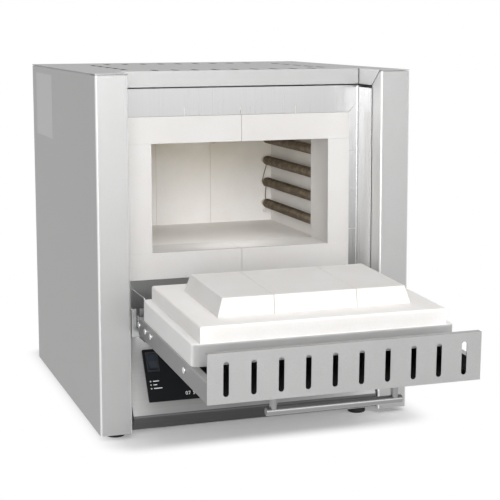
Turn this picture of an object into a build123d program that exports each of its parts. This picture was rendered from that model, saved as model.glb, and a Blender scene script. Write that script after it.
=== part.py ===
from build123d import *

import math
import os

# Bench-top muffle furnace with a brick-lined chamber and a flap door, shown open.
# Sizes are millimetres. The pieces are made with X across the front, Y from the front
# face of the posts towards the back, Z up from the table, and the door shut. The door
# is then swung open, and everything is moved so that the origin is at the middle of
# the table side.

# Outer casing
BODY_WIDTH = 530.0
BODY_HEIGHT = 572.0
BODY_DEPTH = 558.0
FOOT_HEIGHT = 8.0
FOOT_DIAMETER = 30.0
FOOT_ROUND = 1.6
FOOT_LEFT_INSET = 30.0
FOOT_RIGHT_INSET = 80.0
FOOT_FRONT_Y = 27.0
FOOT_REAR_INSET = 45.0
SHEET = 1.2
BEND = 3.0
POST_WIDTH = 52.0
POST_RETURN = 35.0
RECESS_DEPTH = 90.0
REAR_RETURN = 15.0
LEDGE_WIDTH = 14.0
PAN_RIM = 22.0

# Top cover
LID_SHEET = 1.5
LID_SEAM = 1.0
FASCIA_HEIGHT = 26.0
FLAP_FRONT_Y = 3.0
VENT_LENGTH = 42.0
VENT_WIDTH = 8.0
VENT_CORNER_GAP = 38.6
VENT_COLUMNS = 9
VENT_ROW_FRONT_Y = 122.0
VENT_REAR_MARGIN = 88.0
VENT_SIDE_MARGIN = 88.0
VENT_SIDE_ROWS = 5

# Front frame plate
FRAME_TOP_GAP = 2.5
FRAME_SIDE_GAP = 1.0
FRAME_FLANGE_DROP = 3.0
FRAME_BOTTOM_Z = 158.0
SLIT_WIDTH = 1.6
SLIT_LENGTH = 14.0
SLIT_PITCH_X = 97.0
SLIT_PITCH_Z = 67.0
MITRE = 45.0

# Slanted controller panel, measured along its slope
PANEL_TILT = 31.5
PANEL_CENTRE_Y = 37.3
PANEL_CENTRE_Z = 89.5
PANEL_HALF_SLOPE = 67.5
PANEL_SIDE_GAP = 0.6
KICK_SETBACK = 12.0
KICK_LOW_Z = 10.0

# Controller
GLASS_WIDTH = 250.0
GLASS_HEIGHT = 89.0
GLASS_LEFT_INSET = 30.0
GLASS_THICKNESS = 2.0
HOUSING_END_MARGIN = 6.5
HOUSING_LEFT_MARGIN = 38.0
HOUSING_DEPTH = 45.0
HOUSING_WALL = 2.0
HOUSING_RIGHT_MARGIN = 6.0
HOUSING_LIP = 4.0
ROCKER_INSET = 14.5
ROCKER_SLOPE = 22.5
ROCKER_WIDTH = 14.0
ROCKER_RADIUS = 13.5
ROCKER_TILT = 8.0
ROCKER_PLAY = 0.3
BEZEL_WALL = 1.4
BEZEL_RIM = 1.5
BEZEL_DEPTH = 18.0
TRUNNION_RADIUS = 1.5
LIGHT_INSET = 7.0
LIGHT_RADIUS = 1.3
LIGHT_SLOPES = (-10.0, -16.0, -22.0)
DIAL_INSET = 28.0
DIAL_RADIUS = 13.0
DIAL_HEIGHT = 13.0
DIAL_ROUND = 2.0
DIAL_SHAFT_RADIUS = 3.0
DIAL_SHAFT_REACH = 6.0

# Chamber and brickwork, and the air space between the inner casing and the outer one
CASING_SIDE_GAP = 22.1
CASING_TOP_GAP = 41.3
CASING_REAR_GAP = 53.6
MOUTH_SILL_Z = 282.0
COLLAR_SIDE_BORDER = 38.5
COLLAR_TOP_BORDER = 44.0
COLLAR_PROUD = 4.0
COLLAR_DEPTH = 80.0
CHAMBER_SIDE_STEP = 23.75
CHAMBER_FLOOR_DROP = 8.0
CHAMBER_ROOF_RISE = 12.0
BRICK = 40.0
BOARD = 22.0
CASING_SHEET = 1.2
REAR_JOINT_X = 54.0

# Heating
TUBE_RADIUS = 6.0
COIL_RADIUS = 9.0
TUBE_COUNT = 4
TUBE_FLOOR_SPACES = 0.83
TUBE_ROOF_SPACES = 0.93
TUBE_WALL_GAP = 4.5
TUBE_POCKET = 10.0
COIL_START_GAP = 2.5
COIL_END_GAP = 10.0
COIL_ROUND = 1.5
TERMINAL_RADIUS = 3.0
TERMINAL_SPACES = 0.38
TERMINAL_PROUD = 5.0
TERMINAL_LENGTH = 96.0
THERMOCOUPLE_INSET = 38.5
THERMOCOUPLE_RADIUS = 3.0
THERMOCOUPLE_REACH = 30.0
THERMOCOUPLE_HEAD_RADIUS = 10.0
THERMOCOUPLE_HEAD_LENGTH = 20.0
EXHAUST_X = 60.0
EXHAUST_DROP = 34.0
EXHAUST_RADIUS = 12.0
EXHAUST_WALL = 3.0
STUB_RADIUS = 17.0
STUB_LENGTH = 24.0
STUB_FLANGE_RADIUS = 25.5
STUB_FLANGE = 1.5

# Door
HINGE_Y = 18.0
HINGE_Z = 187.0
DOOR_OPEN = 92.2
DOOR_SIDE_GAP = 10.5
DOOR_TOP_GAP = 1.0
DOOR_SIDE_DEPTH = 30.0
DOOR_HEM = 12.0
DOOR_TOP_DEPTH = 70.0
DOOR_LIP = 10.0
DOOR_SIDE_START = 25.0
TONGUE_DROP = 11.0
TONGUE_SIDE_GAP = 9.3
TONGUE_RETURN = 20.0
SLOT_COUNT = 10
SLOT_SIDE_MARGIN = 26.55
SLOT_WIDTH = 8.0
SLOT_LENGTH = 48.0
SLOT_START = 9.5
TRAY_SIDE_GAP = 2.5
TRAY_HEIGHT = 32.0
TRAY_CORNER = 10.0
TRAY_LOW_MARGIN = 11.0
TRAY_TOP_MARGIN = 3.0
SLAB_SIDE_INSET = 5.0
SLAB_TOP_INSET = 7.0
SLAB_LOW_OVERHANG = 1.0
SLAB_COLLAR_GAP = 0.4
SLAB_CHAMFER = 2.0
PLUG_GAP = 4.6
PLUG_HEIGHT = 27.0
PLUG_TAPER_X = 8.5
PLUG_TAPER_Z = 5.5
PLUG_JOINT_X = 64.0
BRICK_JOINT = 0.4

# Hinges and door fittings
BRACKET_SHEET = 2.0
BRACKET_FRONT_Y = 8.0
BRACKET_WIDTH = 24.0
BRACKET_EAR_TOP = 36.0
BRACKET_EAR_LOW = 35.0
CHEEK_TOP = 21.0
CHEEK_LOW = 24.0
OUTER_EAR_DEPTH = 52.0
EAR_CHAMFER = 7.0
ARM_SHEET = 3.0
ARM_WIDTH = 17.0
ARM_TOP = 113.0
ARM_SLOT_GAP = 1.2
PIN_RADIUS = 4.0
PIN_PLAY = 0.05
PIN_HEAD_RADIUS = 6.0
PIN_HEAD = 3.0
ARM_BOLT_RISES = (29.0, 70.0, 101.0)
FRONT_BOLT_DROP = 107.0
BOLT_RADIUS = 2.5
BOLT_HEAD_RADIUS = 4.75
BOLT_HEAD = 2.6
BOLT_TIP = 5.2
HANDLE_LENGTH = 206.0
HANDLE_DIAMETER = 12.0
HANDLE_ROUND = 1.2
HANDLE_REACH = 33.0
HANDLE_DROP = 47.0
STANDOFF_INSET = 11.0
STANDOFF_DIAMETER = 11.0
STANDOFF_TAPPING = 16.5
MAGNET_SIDE_MARGIN = 93.0
MAGNET_SIZE = (20.0, 14.0, 10.0)
MAGNET_SENSOR_GAP = 9.5
SENSOR_SIZE = (40.0, 24.0, 14.0)
SENSOR_DROP = 14.0

# Lower compartment and rear
SCREW_RADIUS = 1.9
SCREW_HEAD_RADIUS = 4.0
SCREW_HEAD = 2.2
SCREW_LENGTH = 6.0
REAR_SCREW_ROWS = 4
GLAND_SIDE_INSET = 65.0
GLAND_Z = 60.0
GLAND_BORE = 4.5
GLAND_THREAD = 8.0
GLAND_HEX = 11.0
GLAND_DOME = 9.5
GLAND_FLANGE = 8.0
GLAND_NUT = 5.2
GLAND_REACH = 22.0
GLAND_ROUND = 3.6
RELAY_SIDE_MARGIN = 125.0
RELAY_REAR_MARGIN = 158.0
RELAY_SIZE = (45.0, 58.0, 24.0)
SINK_SIZE = (70.0, 90.0, 30.0)
SINK_FIN = 2.4
SINK_FINS = 9
SINK_BASE = 6.0
BLOCK_SIDE_MARGIN = 125.0
BLOCK_REAR_MARGIN = 78.0
BLOCK_SIZE = (90.0, 30.0, 32.0)
BLOCK_POLES = 6
BLOCK_HOLE_RADIUS = 3.75
REAR_VENT_ROWS = 5
REAR_VENT_COLUMNS = 7
REAR_VENT_PITCH_X = 48.0
REAR_VENT_PITCH_Z = 16.0
REAR_VENT_LENGTH = 34.0
REAR_VENT_WIDTH = 5.0
REAR_VENT_LOW_Z = 110.0
REAR_VENT_TOP_MARGIN = 90.0

# Clearances, how far cutters run past a face, and how far joined solids overlap
SEAT_GAP = 0.3
FIT_GAP = 0.05
HOLE_PLAY = 0.1
OVERCUT = 1.0
WELD = 1.0

# Places that follow from the sizes above
HALF_WIDTH = BODY_WIDTH / 2
CASE_LOW = FOOT_HEIGHT
TOP_Z = FOOT_HEIGHT + BODY_HEIGHT
INNER_HALF = HALF_WIDTH - SHEET
RECESS_HALF = HALF_WIDTH - POST_WIDTH
WALL_TOP = TOP_Z - LID_SHEET - LID_SEAM
LEDGE_TOP = TOP_Z - LID_SHEET - SEAT_GAP
REAR_COVER_Y = BODY_DEPTH - SHEET
FASCIA_LOW = TOP_Z - FASCIA_HEIGHT
FRAME_TOP = FASCIA_LOW - FRAME_TOP_GAP
FRAME_HALF = RECESS_HALF - FRAME_SIDE_GAP
FRAME_BACK = RECESS_DEPTH + SHEET
CHAMBER_HALF = INNER_HALF - CASING_SIDE_GAP - CASING_SHEET - BOARD - BRICK
CHAMBER_ROOF = TOP_Z - LID_SHEET - CASING_TOP_GAP - CASING_SHEET - BOARD - BRICK
CHAMBER_BACK = REAR_COVER_Y - CASING_REAR_GAP - CASING_SHEET - BOARD - BRICK
CHAMBER_FLOOR = MOUTH_SILL_Z - CHAMBER_FLOOR_DROP
MOUTH_HALF = CHAMBER_HALF - CHAMBER_SIDE_STEP
MOUTH_TOP = CHAMBER_ROOF - CHAMBER_ROOF_RISE
MOUTH_HEIGHT = MOUTH_TOP - MOUTH_SILL_Z
COLLAR_HALF = MOUTH_HALF + COLLAR_SIDE_BORDER
COLLAR_LOW = MOUTH_SILL_Z - COLLAR_TOP_BORDER
COLLAR_TOP = MOUTH_TOP + COLLAR_TOP_BORDER
COLLAR_FACE = RECESS_DEPTH - COLLAR_PROUD
COLLAR_BACK = COLLAR_FACE + COLLAR_DEPTH
COLLAR_SHOULDER = FRAME_BACK + SEAT_GAP
BRICK_HALF = CHAMBER_HALF + BRICK
BRICK_LOW = CHAMBER_FLOOR - BRICK
BRICK_TOP = CHAMBER_ROOF + BRICK
BRICK_BACK = CHAMBER_BACK + BRICK
BOARD_HALF = BRICK_HALF + BOARD
BOARD_LOW = BRICK_LOW - BOARD
BOARD_TOP = BRICK_TOP + BOARD
BOARD_BACK = BRICK_BACK + BOARD
CASING_LOW = BOARD_LOW - CASING_SHEET
CASING_BACK = BOARD_BACK + CASING_SHEET
TUBE_X = CHAMBER_HALF - TUBE_WALL_GAP - COIL_RADIUS
TUBE_SPACES = TUBE_FLOOR_SPACES + TUBE_COUNT - 1 + TUBE_ROOF_SPACES
TUBE_PITCH = (CHAMBER_ROOF - CHAMBER_FLOOR) / TUBE_SPACES
TUBE_LEVELS = [CHAMBER_FLOOR + (TUBE_FLOOR_SPACES + i) * TUBE_PITCH for i in range(TUBE_COUNT)]
TERMINAL_OFFSET = TERMINAL_SPACES * TUBE_PITCH
TERMINAL_LEVELS = (TUBE_LEVELS[0] - TERMINAL_OFFSET, TUBE_LEVELS[-1] + TERMINAL_OFFSET)
THERMOCOUPLE_X = -CHAMBER_HALF + THERMOCOUPLE_INSET
EXHAUST_Z = CHAMBER_ROOF - EXHAUST_DROP
DOOR_HALF = RECESS_HALF - DOOR_SIDE_GAP
DOOR_TOP = TOP_Z - DOOR_TOP_GAP
DOOR_SIDE_LOW = HINGE_Z + DOOR_SIDE_START
SLOT_PITCH = 2 * (DOOR_HALF - SLOT_SIDE_MARGIN) / (SLOT_COUNT - 1)
TRAY_HALF = DOOR_HALF - TRAY_SIDE_GAP
TRAY_RIM_Y = DOOR_SIDE_DEPTH + TRAY_HEIGHT
SLAB_HALF = COLLAR_HALF - SLAB_SIDE_INSET
SLAB_LOW = COLLAR_LOW - SLAB_LOW_OVERHANG
SLAB_TOP = COLLAR_TOP - SLAB_TOP_INSET
SLAB_FACE = COLLAR_FACE - SLAB_COLLAR_GAP
TRAY_LOW = SLAB_LOW - TRAY_LOW_MARGIN
TRAY_TOP = SLAB_TOP + TRAY_TOP_MARGIN
ARM_OUTER_X = DOOR_HALF - SHEET
HANDLE_Z = DOOR_TOP - HANDLE_DROP
STANDOFF_X = HANDLE_LENGTH / 2 - STANDOFF_INSET
MAGNET_X = RECESS_HALF - MAGNET_SIDE_MARGIN
FRONT_BOLT_RISE = DOOR_TOP - FRONT_BOLT_DROP - HINGE_Z
BRACKET_OUTER_X = FRAME_HALF - SHEET - SEAT_GAP
BRACKET_INNER_X = BRACKET_OUTER_X - BRACKET_WIDTH
TONGUE_HALF = BRACKET_INNER_X - TONGUE_SIDE_GAP
GLASS_LEFT_X = -FRAME_HALF + GLASS_LEFT_INSET
GLASS_CENTRE_X = GLASS_LEFT_X + GLASS_WIDTH / 2
ROCKER_X = GLASS_LEFT_X + ROCKER_INSET
LIGHT_X = GLASS_LEFT_X + LIGHT_INSET
DIAL_X = GLASS_LEFT_X + GLASS_WIDTH - DIAL_INSET
HOUSING_WIDTH = GLASS_WIDTH - HOUSING_LEFT_MARGIN - HOUSING_RIGHT_MARGIN
HOUSING_HEIGHT = GLASS_HEIGHT - 2 * HOUSING_END_MARGIN
HOUSING_CENTRE_X = GLASS_LEFT_X + HOUSING_LEFT_MARGIN + HOUSING_WIDTH / 2
BEZEL_HALF_WIDTH = ROCKER_WIDTH / 2 + ROCKER_PLAY + BEZEL_WALL
BEZEL_HALF_HEIGHT = ROCKER_RADIUS + ROCKER_PLAY + BEZEL_WALL
VENT_ROW_REAR_Y = BODY_DEPTH - VENT_REAR_MARGIN
VENT_COLUMN_X = HALF_WIDTH - VENT_SIDE_MARGIN
VENT_PITCH_X = 2 * (VENT_COLUMN_X - VENT_CORNER_GAP) / (VENT_COLUMNS - 1)
GLAND_X = -HALF_WIDTH + GLAND_SIDE_INSET
RELAY_X = HALF_WIDTH - RELAY_SIDE_MARGIN
RELAY_Y = BODY_DEPTH - RELAY_REAR_MARGIN
BLOCK_X = -HALF_WIDTH + BLOCK_SIDE_MARGIN
BLOCK_Y = BODY_DEPTH - BLOCK_REAR_MARGIN

# The controller's own plane: X across, Y up the slope, Z out of the panel
PANEL = Plane(
    origin=(0, PANEL_CENTRE_Y, PANEL_CENTRE_Z),
    x_dir=(1, 0, 0),
    z_dir=(0, -math.cos(math.radians(PANEL_TILT)), math.sin(math.radians(PANEL_TILT))),
)
FACING_BACK = Plane(origin=(0, 0, 0), x_dir=(1, 0, 0), z_dir=(0, -1, 0))
FACING_SIDE = Plane.YZ
SWING_OPEN = (
    Pos(0, HINGE_Y, HINGE_Z) * Rot(DOOR_OPEN, 0, 0) * Pos(0, -HINGE_Y, -HINGE_Z)
)
SIDES = (("left", -1), ("right", 1))


def block(x, y, z):
    """A box given by its low and high limit on each axis."""
    size = [high - low for low, high in (x, y, z)]
    middle = [(high + low) / 2 for low, high in (x, y, z)]
    return Pos(*middle) * Box(*size)


def side_block(side, x, y, z):
    """A box on one side of the middle, from its distances to the middle."""
    near, far = sorted((side * x[0], side * x[1]))
    return block((near, far), y, z)


def rod_y(radius, x, y, z):
    """A round rod along Y between two limits."""
    low, high = y
    return Pos(x, (low + high) / 2, z) * Rot(90, 0, 0) * Cylinder(radius, high - low)


def rod_x(radius, x, y, z):
    """A round rod along X between two limits."""
    low, high = x
    return Pos((low + high) / 2, y, z) * Rot(0, 90, 0) * Cylinder(radius, high - low)


def rod_z(radius, x, y, z):
    """A round rod along Z between two limits."""
    low, high = z
    return Pos(x, y, (low + high) / 2) * Cylinder(radius, high - low)


def folded_sheet(points, thickness, bend):
    """The cross-section of a sheet folded along the given middle line."""
    return trace(FilletPolyline(*points, radius=bend), thickness)


def extruded_z(section, low, high):
    """A section in the XY plane, run from one height to another."""
    return Pos(0, 0, low) * extrude(section, high - low)


def extruded_y(section, low, high):
    """A section drawn as X and Z, run from one depth to another."""
    return Pos(0, high, 0) * extrude(FACING_BACK * section, high - low)


def group(pieces):
    """Separate solids that share one node."""
    return Compound([piece.solid() for piece in pieces])


def slot_z(length, width, x, y, low, high):
    """A cutter for a slot with round ends, along Y, through a level sheet."""
    return Pos(x, y, low) * Rot(0, 0, 90) * extrude(SlotOverall(length, width), high - low)


# Outer casing


def side_panel(side):
    """A side wall folded into a front post, its recess return and a rear return."""
    wall_x = side * (HALF_WIDTH - SHEET / 2)
    return_x = side * (RECESS_HALF + SHEET / 2)
    rear_y = REAR_COVER_Y - SHEET / 2
    section = folded_sheet(
        [
            (side * (HALF_WIDTH - REAR_RETURN), rear_y),
            (wall_x, rear_y),
            (wall_x, SHEET / 2),
            (return_x, SHEET / 2),
            (return_x, POST_RETURN),
        ],
        SHEET,
        BEND,
    )
    panel = extruded_z(section, CASE_LOW, WALL_TOP)
    ledge_far = INNER_HALF + SHEET / 2
    ledge = side_block(
        side,
        (ledge_far - LEDGE_WIDTH, ledge_far),
        (POST_RETURN, REAR_COVER_Y - REAR_RETURN),
        (LEDGE_TOP - SHEET, LEDGE_TOP),
    )
    panel = panel + ledge
    panel -= side_block(
        side,
        (RECESS_HALF - BEND, RECESS_HALF + BEND),
        (2 * BEND, POST_RETURN + BEND),
        (CASE_LOW - OVERCUT, CASE_LOW + SHEET + SEAT_GAP),
    )
    for x, z in rear_screw_places():
        if x * side > 0:
            panel -= rod_y(SCREW_RADIUS + HOLE_PLAY, x, (rear_y - BEND, BODY_DEPTH), z)
    return panel


def vent_places():
    """Middles of the lid's vent slots, in a ring."""
    half = (VENT_COLUMNS - 1) / 2
    places = []
    for i in range(VENT_COLUMNS):
        x = (i - half) * VENT_PITCH_X
        places += [(x, VENT_ROW_FRONT_Y), (x, VENT_ROW_REAR_Y)]
    pitch = (VENT_ROW_REAR_Y - VENT_ROW_FRONT_Y) / (VENT_SIDE_ROWS + 1)
    for i in range(VENT_SIDE_ROWS):
        y = VENT_ROW_FRONT_Y + (i + 1) * pitch
        places += [(-VENT_COLUMN_X, y), (VENT_COLUMN_X, y)]
    return places


def top_cover():
    """The lid over the whole top, with a fascia and flaps round the door recess."""
    low = TOP_Z - LID_SHEET
    plate = block((-HALF_WIDTH, HALF_WIDTH), (0, BODY_DEPTH), (low, TOP_Z))
    plate = fillet(plate.edges().filter_by(Axis.Z), BEND)
    fascia_y = (RECESS_DEPTH - SHEET, RECESS_DEPTH)
    notch = block(
        (-RECESS_HALF, RECESS_HALF), (-OVERCUT, fascia_y[0]), (low - OVERCUT, TOP_Z + OVERCUT)
    )
    cover = plate - notch
    cover += block((-RECESS_HALF, RECESS_HALF), fascia_y, (FASCIA_LOW, TOP_Z))
    outline = make_face(
        Polyline(
            (fascia_y[0], FASCIA_LOW),
            (POST_RETURN, FASCIA_LOW),
            (FLAP_FRONT_Y, TOP_Z),
            (fascia_y[0], TOP_Z),
            close=True,
        )
    )
    flap = extrude(FACING_SIDE * outline, SHEET)
    cover += Pos(RECESS_HALF - SHEET, 0, 0) * flap
    cover += Pos(-RECESS_HALF, 0, 0) * flap
    for x, y in vent_places():
        cover -= slot_z(VENT_LENGTH, VENT_WIDTH, x, y, low - OVERCUT, TOP_Z + OVERCUT)
    return cover


def rear_screw_places():
    """Middles of the screws that hold the rear cover."""
    x = HALF_WIDTH - REAR_RETURN / 2 - SHEET
    reach = BODY_HEIGHT - 2 * REAR_RETURN
    pitch = reach / (REAR_SCREW_ROWS - 1)
    levels = [CASE_LOW + REAR_RETURN + i * pitch for i in range(REAR_SCREW_ROWS)]
    return [(side * x, z) for side in (-1, 1) for z in levels]


def rear_cover():
    """The flat back, with two fields of vent slots and holes for what passes through."""
    half = HALF_WIDTH - BEND
    cover = block((-half, half), (REAR_COVER_Y, BODY_DEPTH), (CASE_LOW + SEAT_GAP, WALL_TOP))
    through = (REAR_COVER_Y - OVERCUT, BODY_DEPTH + OVERCUT)
    middle = (REAR_VENT_COLUMNS - 1) / 2
    for base in (REAR_VENT_LOW_Z, TOP_Z - REAR_VENT_TOP_MARGIN):
        for row in range(REAR_VENT_ROWS):
            for column in range(REAR_VENT_COLUMNS):
                x = (column - middle) * REAR_VENT_PITCH_X
                z = base + row * REAR_VENT_PITCH_Z
                slot = extrude(
                    SlotOverall(REAR_VENT_LENGTH, REAR_VENT_WIDTH), through[1] - through[0]
                )
                cover -= Pos(x, through[1], z) * Rot(90, 0, 0) * slot
    cover -= rod_y(STUB_RADIUS - EXHAUST_WALL, EXHAUST_X, through, EXHAUST_Z)
    cover -= rod_y(GLAND_THREAD + HOLE_PLAY, GLAND_X, through, GLAND_Z)
    for x, z in rear_screw_places():
        cover -= rod_y(SCREW_RADIUS + HOLE_PLAY, x, through, z)
    return cover


def foot_places():
    """Middles of the four feet."""
    rear = BODY_DEPTH - FOOT_REAR_INSET
    columns = (-HALF_WIDTH + FOOT_LEFT_INSET, HALF_WIDTH - FOOT_RIGHT_INSET)
    return [(x, y) for x in columns for y in (FOOT_FRONT_Y, rear)]


def base_pan():
    """The floor of the casing, with upturned sides."""
    half = INNER_HALF - SEAT_GAP - SHEET / 2
    floor_z = CASE_LOW + SHEET / 2
    section = folded_sheet(
        [(-half, CASE_LOW + PAN_RIM), (-half, floor_z), (half, floor_z), (half, CASE_LOW + PAN_RIM)],
        SHEET,
        BEND,
    )
    pan = extruded_y(section, KICK_SETBACK + 2 * SHEET, REAR_COVER_Y - 2 * BEND)
    for x, y in foot_places():
        pan -= rod_z(BOLT_RADIUS + HOLE_PLAY, x, y, (0, FOOT_HEIGHT + PAN_RIM))
    return pan


def chassis_shelf():
    """The level sheet that carries the muffle above the lower compartment."""
    half = INNER_HALF - SEAT_GAP - SHEET / 2
    level = CASING_LOW - SHEET / 2
    rim = level - PAN_RIM
    section = folded_sheet([(-half, rim), (-half, level), (half, level), (half, rim)], SHEET, BEND)
    return extruded_y(section, FRAME_BACK + SEAT_GAP, REAR_COVER_Y - 2 * BEND)


def feet():
    """Four round rubber feet, each with a stud and nut through the base pan."""
    radius = FOOT_DIAMETER / 2
    stud_top = CASE_LOW + SHEET + BOLT_TIP
    pieces = []
    for x, y in foot_places():
        foot = rod_z(radius, x, y, (0, FOOT_HEIGHT))
        foot = fillet(foot.edges().filter_by(GeomType.CIRCLE), FOOT_ROUND)
        foot += rod_z(BOLT_RADIUS, x, y, (FOOT_HEIGHT / 2, stud_top))
        foot += rod_z(BOLT_HEAD_RADIUS, x, y, (CASE_LOW + SHEET, CASE_LOW + SHEET + BOLT_HEAD))
        pieces.append(foot)
    return group(pieces)


# Front frame and controller


def front_frame_plate():
    """The bright plate round the collar, slit against heat, with side flanges."""
    flange_x = FRAME_HALF - SHEET / 2
    plate_y = RECESS_DEPTH + SHEET / 2
    start = POST_RETURN + SEAT_GAP
    section = folded_sheet(
        [(-flange_x, start), (-flange_x, plate_y), (flange_x, plate_y), (flange_x, start)],
        SHEET,
        BEND,
    )
    plate = extruded_z(section, KICK_LOW_Z + KICK_SETBACK, FRAME_TOP)
    inner = FRAME_HALF - SHEET - BEND
    through = (RECESS_DEPTH - OVERCUT, FRAME_BACK + OVERCUT)
    plate -= block((-inner, inner), through, (0, FRAME_BOTTOM_Z))
    hole_half = COLLAR_HALF + SEAT_GAP
    hole_z = (COLLAR_LOW - SEAT_GAP, COLLAR_TOP + SEAT_GAP)
    plate -= block((-hole_half, hole_half), through, hole_z)
    middle_z = (COLLAR_LOW + COLLAR_TOP) / 2
    for i in (-1, 0, 1):
        x = i * SLIT_PITCH_X
        plate -= block(
            (x - SLIT_WIDTH / 2, x + SLIT_WIDTH / 2),
            through,
            (hole_z[1] - OVERCUT, hole_z[1] + SLIT_LENGTH),
        )
        z = middle_z + i * SLIT_PITCH_Z
        for _, side in SIDES:
            plate -= side_block(
                side,
                (hole_half - OVERCUT, hole_half + SLIT_LENGTH),
                through,
                (z - SLIT_WIDTH / 2, z + SLIT_WIDTH / 2),
            )
    for _, side in SIDES:
        plate -= side_block(
            side,
            (FRAME_HALF - BEND, FRAME_HALF + OVERCUT),
            (start - OVERCUT, RECESS_DEPTH - BEND),
            (FRAME_TOP - FRAME_FLANGE_DROP, FRAME_TOP + OVERCUT),
        )
        cutter = Box(2 * SLIT_LENGTH, SHEET + 2 * OVERCUT, SLIT_WIDTH)
        cutter = Rot(0, -side * MITRE, 0) * cutter
        reach = SLIT_LENGTH / 2
        plate -= Pos(side * (hole_half + reach), plate_y, hole_z[1] + reach) * cutter
    return plate


def controller_panel():
    """The slanted panel, folded back under itself as the kick strip."""
    up_y = math.sin(math.radians(PANEL_TILT))
    up_z = math.cos(math.radians(PANEL_TILT))
    inward_y = up_z * SHEET / 2
    inward_z = -up_y * SHEET / 2
    top = (
        PANEL_CENTRE_Y + PANEL_HALF_SLOPE * up_y + inward_y,
        PANEL_CENTRE_Z + PANEL_HALF_SLOPE * up_z + inward_z,
    )
    fold = (
        PANEL_CENTRE_Y - PANEL_HALF_SLOPE * up_y + inward_y,
        PANEL_CENTRE_Z - PANEL_HALF_SLOPE * up_z + inward_z,
    )
    kick = (fold[0] + KICK_SETBACK, KICK_LOW_Z)
    half = FRAME_HALF - SHEET - PANEL_SIDE_GAP
    section = FACING_SIDE * folded_sheet([top, fold, kick], SHEET, BEND)
    panel = Pos(-half, 0, 0) * extrude(section, 2 * half, dir=(1, 0, 0))
    cut = 2 * (SHEET + OVERCUT)
    panel -= PANEL * Pos(HOUSING_CENTRE_X, 0, 0) * Box(
        HOUSING_WIDTH - 2 * HOUSING_LIP, HOUSING_HEIGHT - 2 * HOUSING_LIP, cut
    )
    panel -= PANEL * Pos(ROCKER_X, ROCKER_SLOPE, 0) * Box(
        2 * (BEZEL_HALF_WIDTH + HOLE_PLAY), 2 * (BEZEL_HALF_HEIGHT + HOLE_PLAY), cut
    )
    for slope in LIGHT_SLOPES:
        panel -= PANEL * Pos(LIGHT_X, slope, 0) * Cylinder(LIGHT_RADIUS + HOLE_PLAY, cut)
    return panel


def controller_glass():
    """The black front of the controller, lying on the panel."""
    glass = Box(GLASS_WIDTH, GLASS_HEIGHT, GLASS_THICKNESS)
    glass = fillet(glass.edges().filter_by(Axis.Z), GLASS_THICKNESS)
    glass = PANEL * Pos(GLASS_CENTRE_X, 0, GLASS_THICKNESS / 2) * glass
    cut = 2 * (GLASS_THICKNESS + OVERCUT)
    glass -= PANEL * Pos(ROCKER_X, ROCKER_SLOPE, 0) * Box(
        2 * (BEZEL_HALF_WIDTH + HOLE_PLAY), 2 * (BEZEL_HALF_HEIGHT + HOLE_PLAY), cut
    )
    glass -= PANEL * Pos(DIAL_X, 0, 0) * Cylinder(DIAL_SHAFT_RADIUS + SEAT_GAP, cut)
    for slope in LIGHT_SLOPES:
        glass -= PANEL * Pos(LIGHT_X, slope, 0) * Cylinder(LIGHT_RADIUS + HOLE_PLAY, cut)
    return glass


def controller_housing():
    """The hollow box behind the panel that holds the controller's board."""
    middle = -SHEET - HOUSING_DEPTH / 2
    outer = Box(HOUSING_WIDTH, HOUSING_HEIGHT, HOUSING_DEPTH)
    inner = Box(
        HOUSING_WIDTH - 2 * HOUSING_WALL,
        HOUSING_HEIGHT - 2 * HOUSING_WALL,
        HOUSING_DEPTH - 2 * HOUSING_WALL,
    )
    shell = PANEL * Pos(HOUSING_CENTRE_X, 0, middle) * (outer - inner)
    bush = Cylinder(DIAL_SHAFT_RADIUS + FIT_GAP, 2 * (HOUSING_WALL + OVERCUT))
    return shell - PANEL * Pos(DIAL_X, 0, -SHEET) * bush


def rocker_bezel():
    """The frame of the power switch, with holes for the rocker's trunnions."""
    rim = Box(
        2 * (BEZEL_HALF_WIDTH + BEZEL_RIM), 2 * (BEZEL_HALF_HEIGHT + BEZEL_RIM), BEZEL_WALL
    )
    rim = Pos(0, 0, GLASS_THICKNESS + BEZEL_WALL / 2) * rim
    sleeve = Box(2 * BEZEL_HALF_WIDTH, 2 * BEZEL_HALF_HEIGHT, BEZEL_DEPTH)
    sleeve = Pos(0, 0, GLASS_THICKNESS + BEZEL_WALL - BEZEL_DEPTH / 2) * sleeve
    hollow = Box(ROCKER_WIDTH + 2 * ROCKER_PLAY, 2 * (ROCKER_RADIUS + ROCKER_PLAY), 2 * BEZEL_DEPTH)
    axle = Rot(0, 90, 0) * Cylinder(TRUNNION_RADIUS + FIT_GAP, 2 * (BEZEL_HALF_WIDTH + OVERCUT))
    return PANEL * Pos(ROCKER_X, ROCKER_SLOPE, 0) * (rim + sleeve - hollow - axle)


def rocker_switch():
    """The power rocker, resting with its upper end pressed in."""
    paddle = Rot(0, 90, 0) * Cylinder(ROCKER_RADIUS, ROCKER_WIDTH)
    rise = GLASS_THICKNESS + BEZEL_WALL
    end_rise = rise + ROCKER_RADIUS * math.tan(math.radians(ROCKER_TILT))
    outline = make_face(
        Polyline(
            (-ROCKER_RADIUS, -rise),
            (ROCKER_RADIUS, -rise),
            (ROCKER_RADIUS, end_rise),
            (0, rise),
            (-ROCKER_RADIUS, end_rise),
            close=True,
        )
    )
    body = Pos(-ROCKER_WIDTH / 2, 0, 0) * extrude(FACING_SIDE * outline, ROCKER_WIDTH, dir=(1, 0, 0))
    rocker = paddle & body
    rocker += Rot(0, 90, 0) * Cylinder(TRUNNION_RADIUS, 2 * BEZEL_HALF_WIDTH - BEZEL_WALL)
    return PANEL * Pos(ROCKER_X, ROCKER_SLOPE, 0) * Rot(-ROCKER_TILT, 0, 0) * rocker


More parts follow.
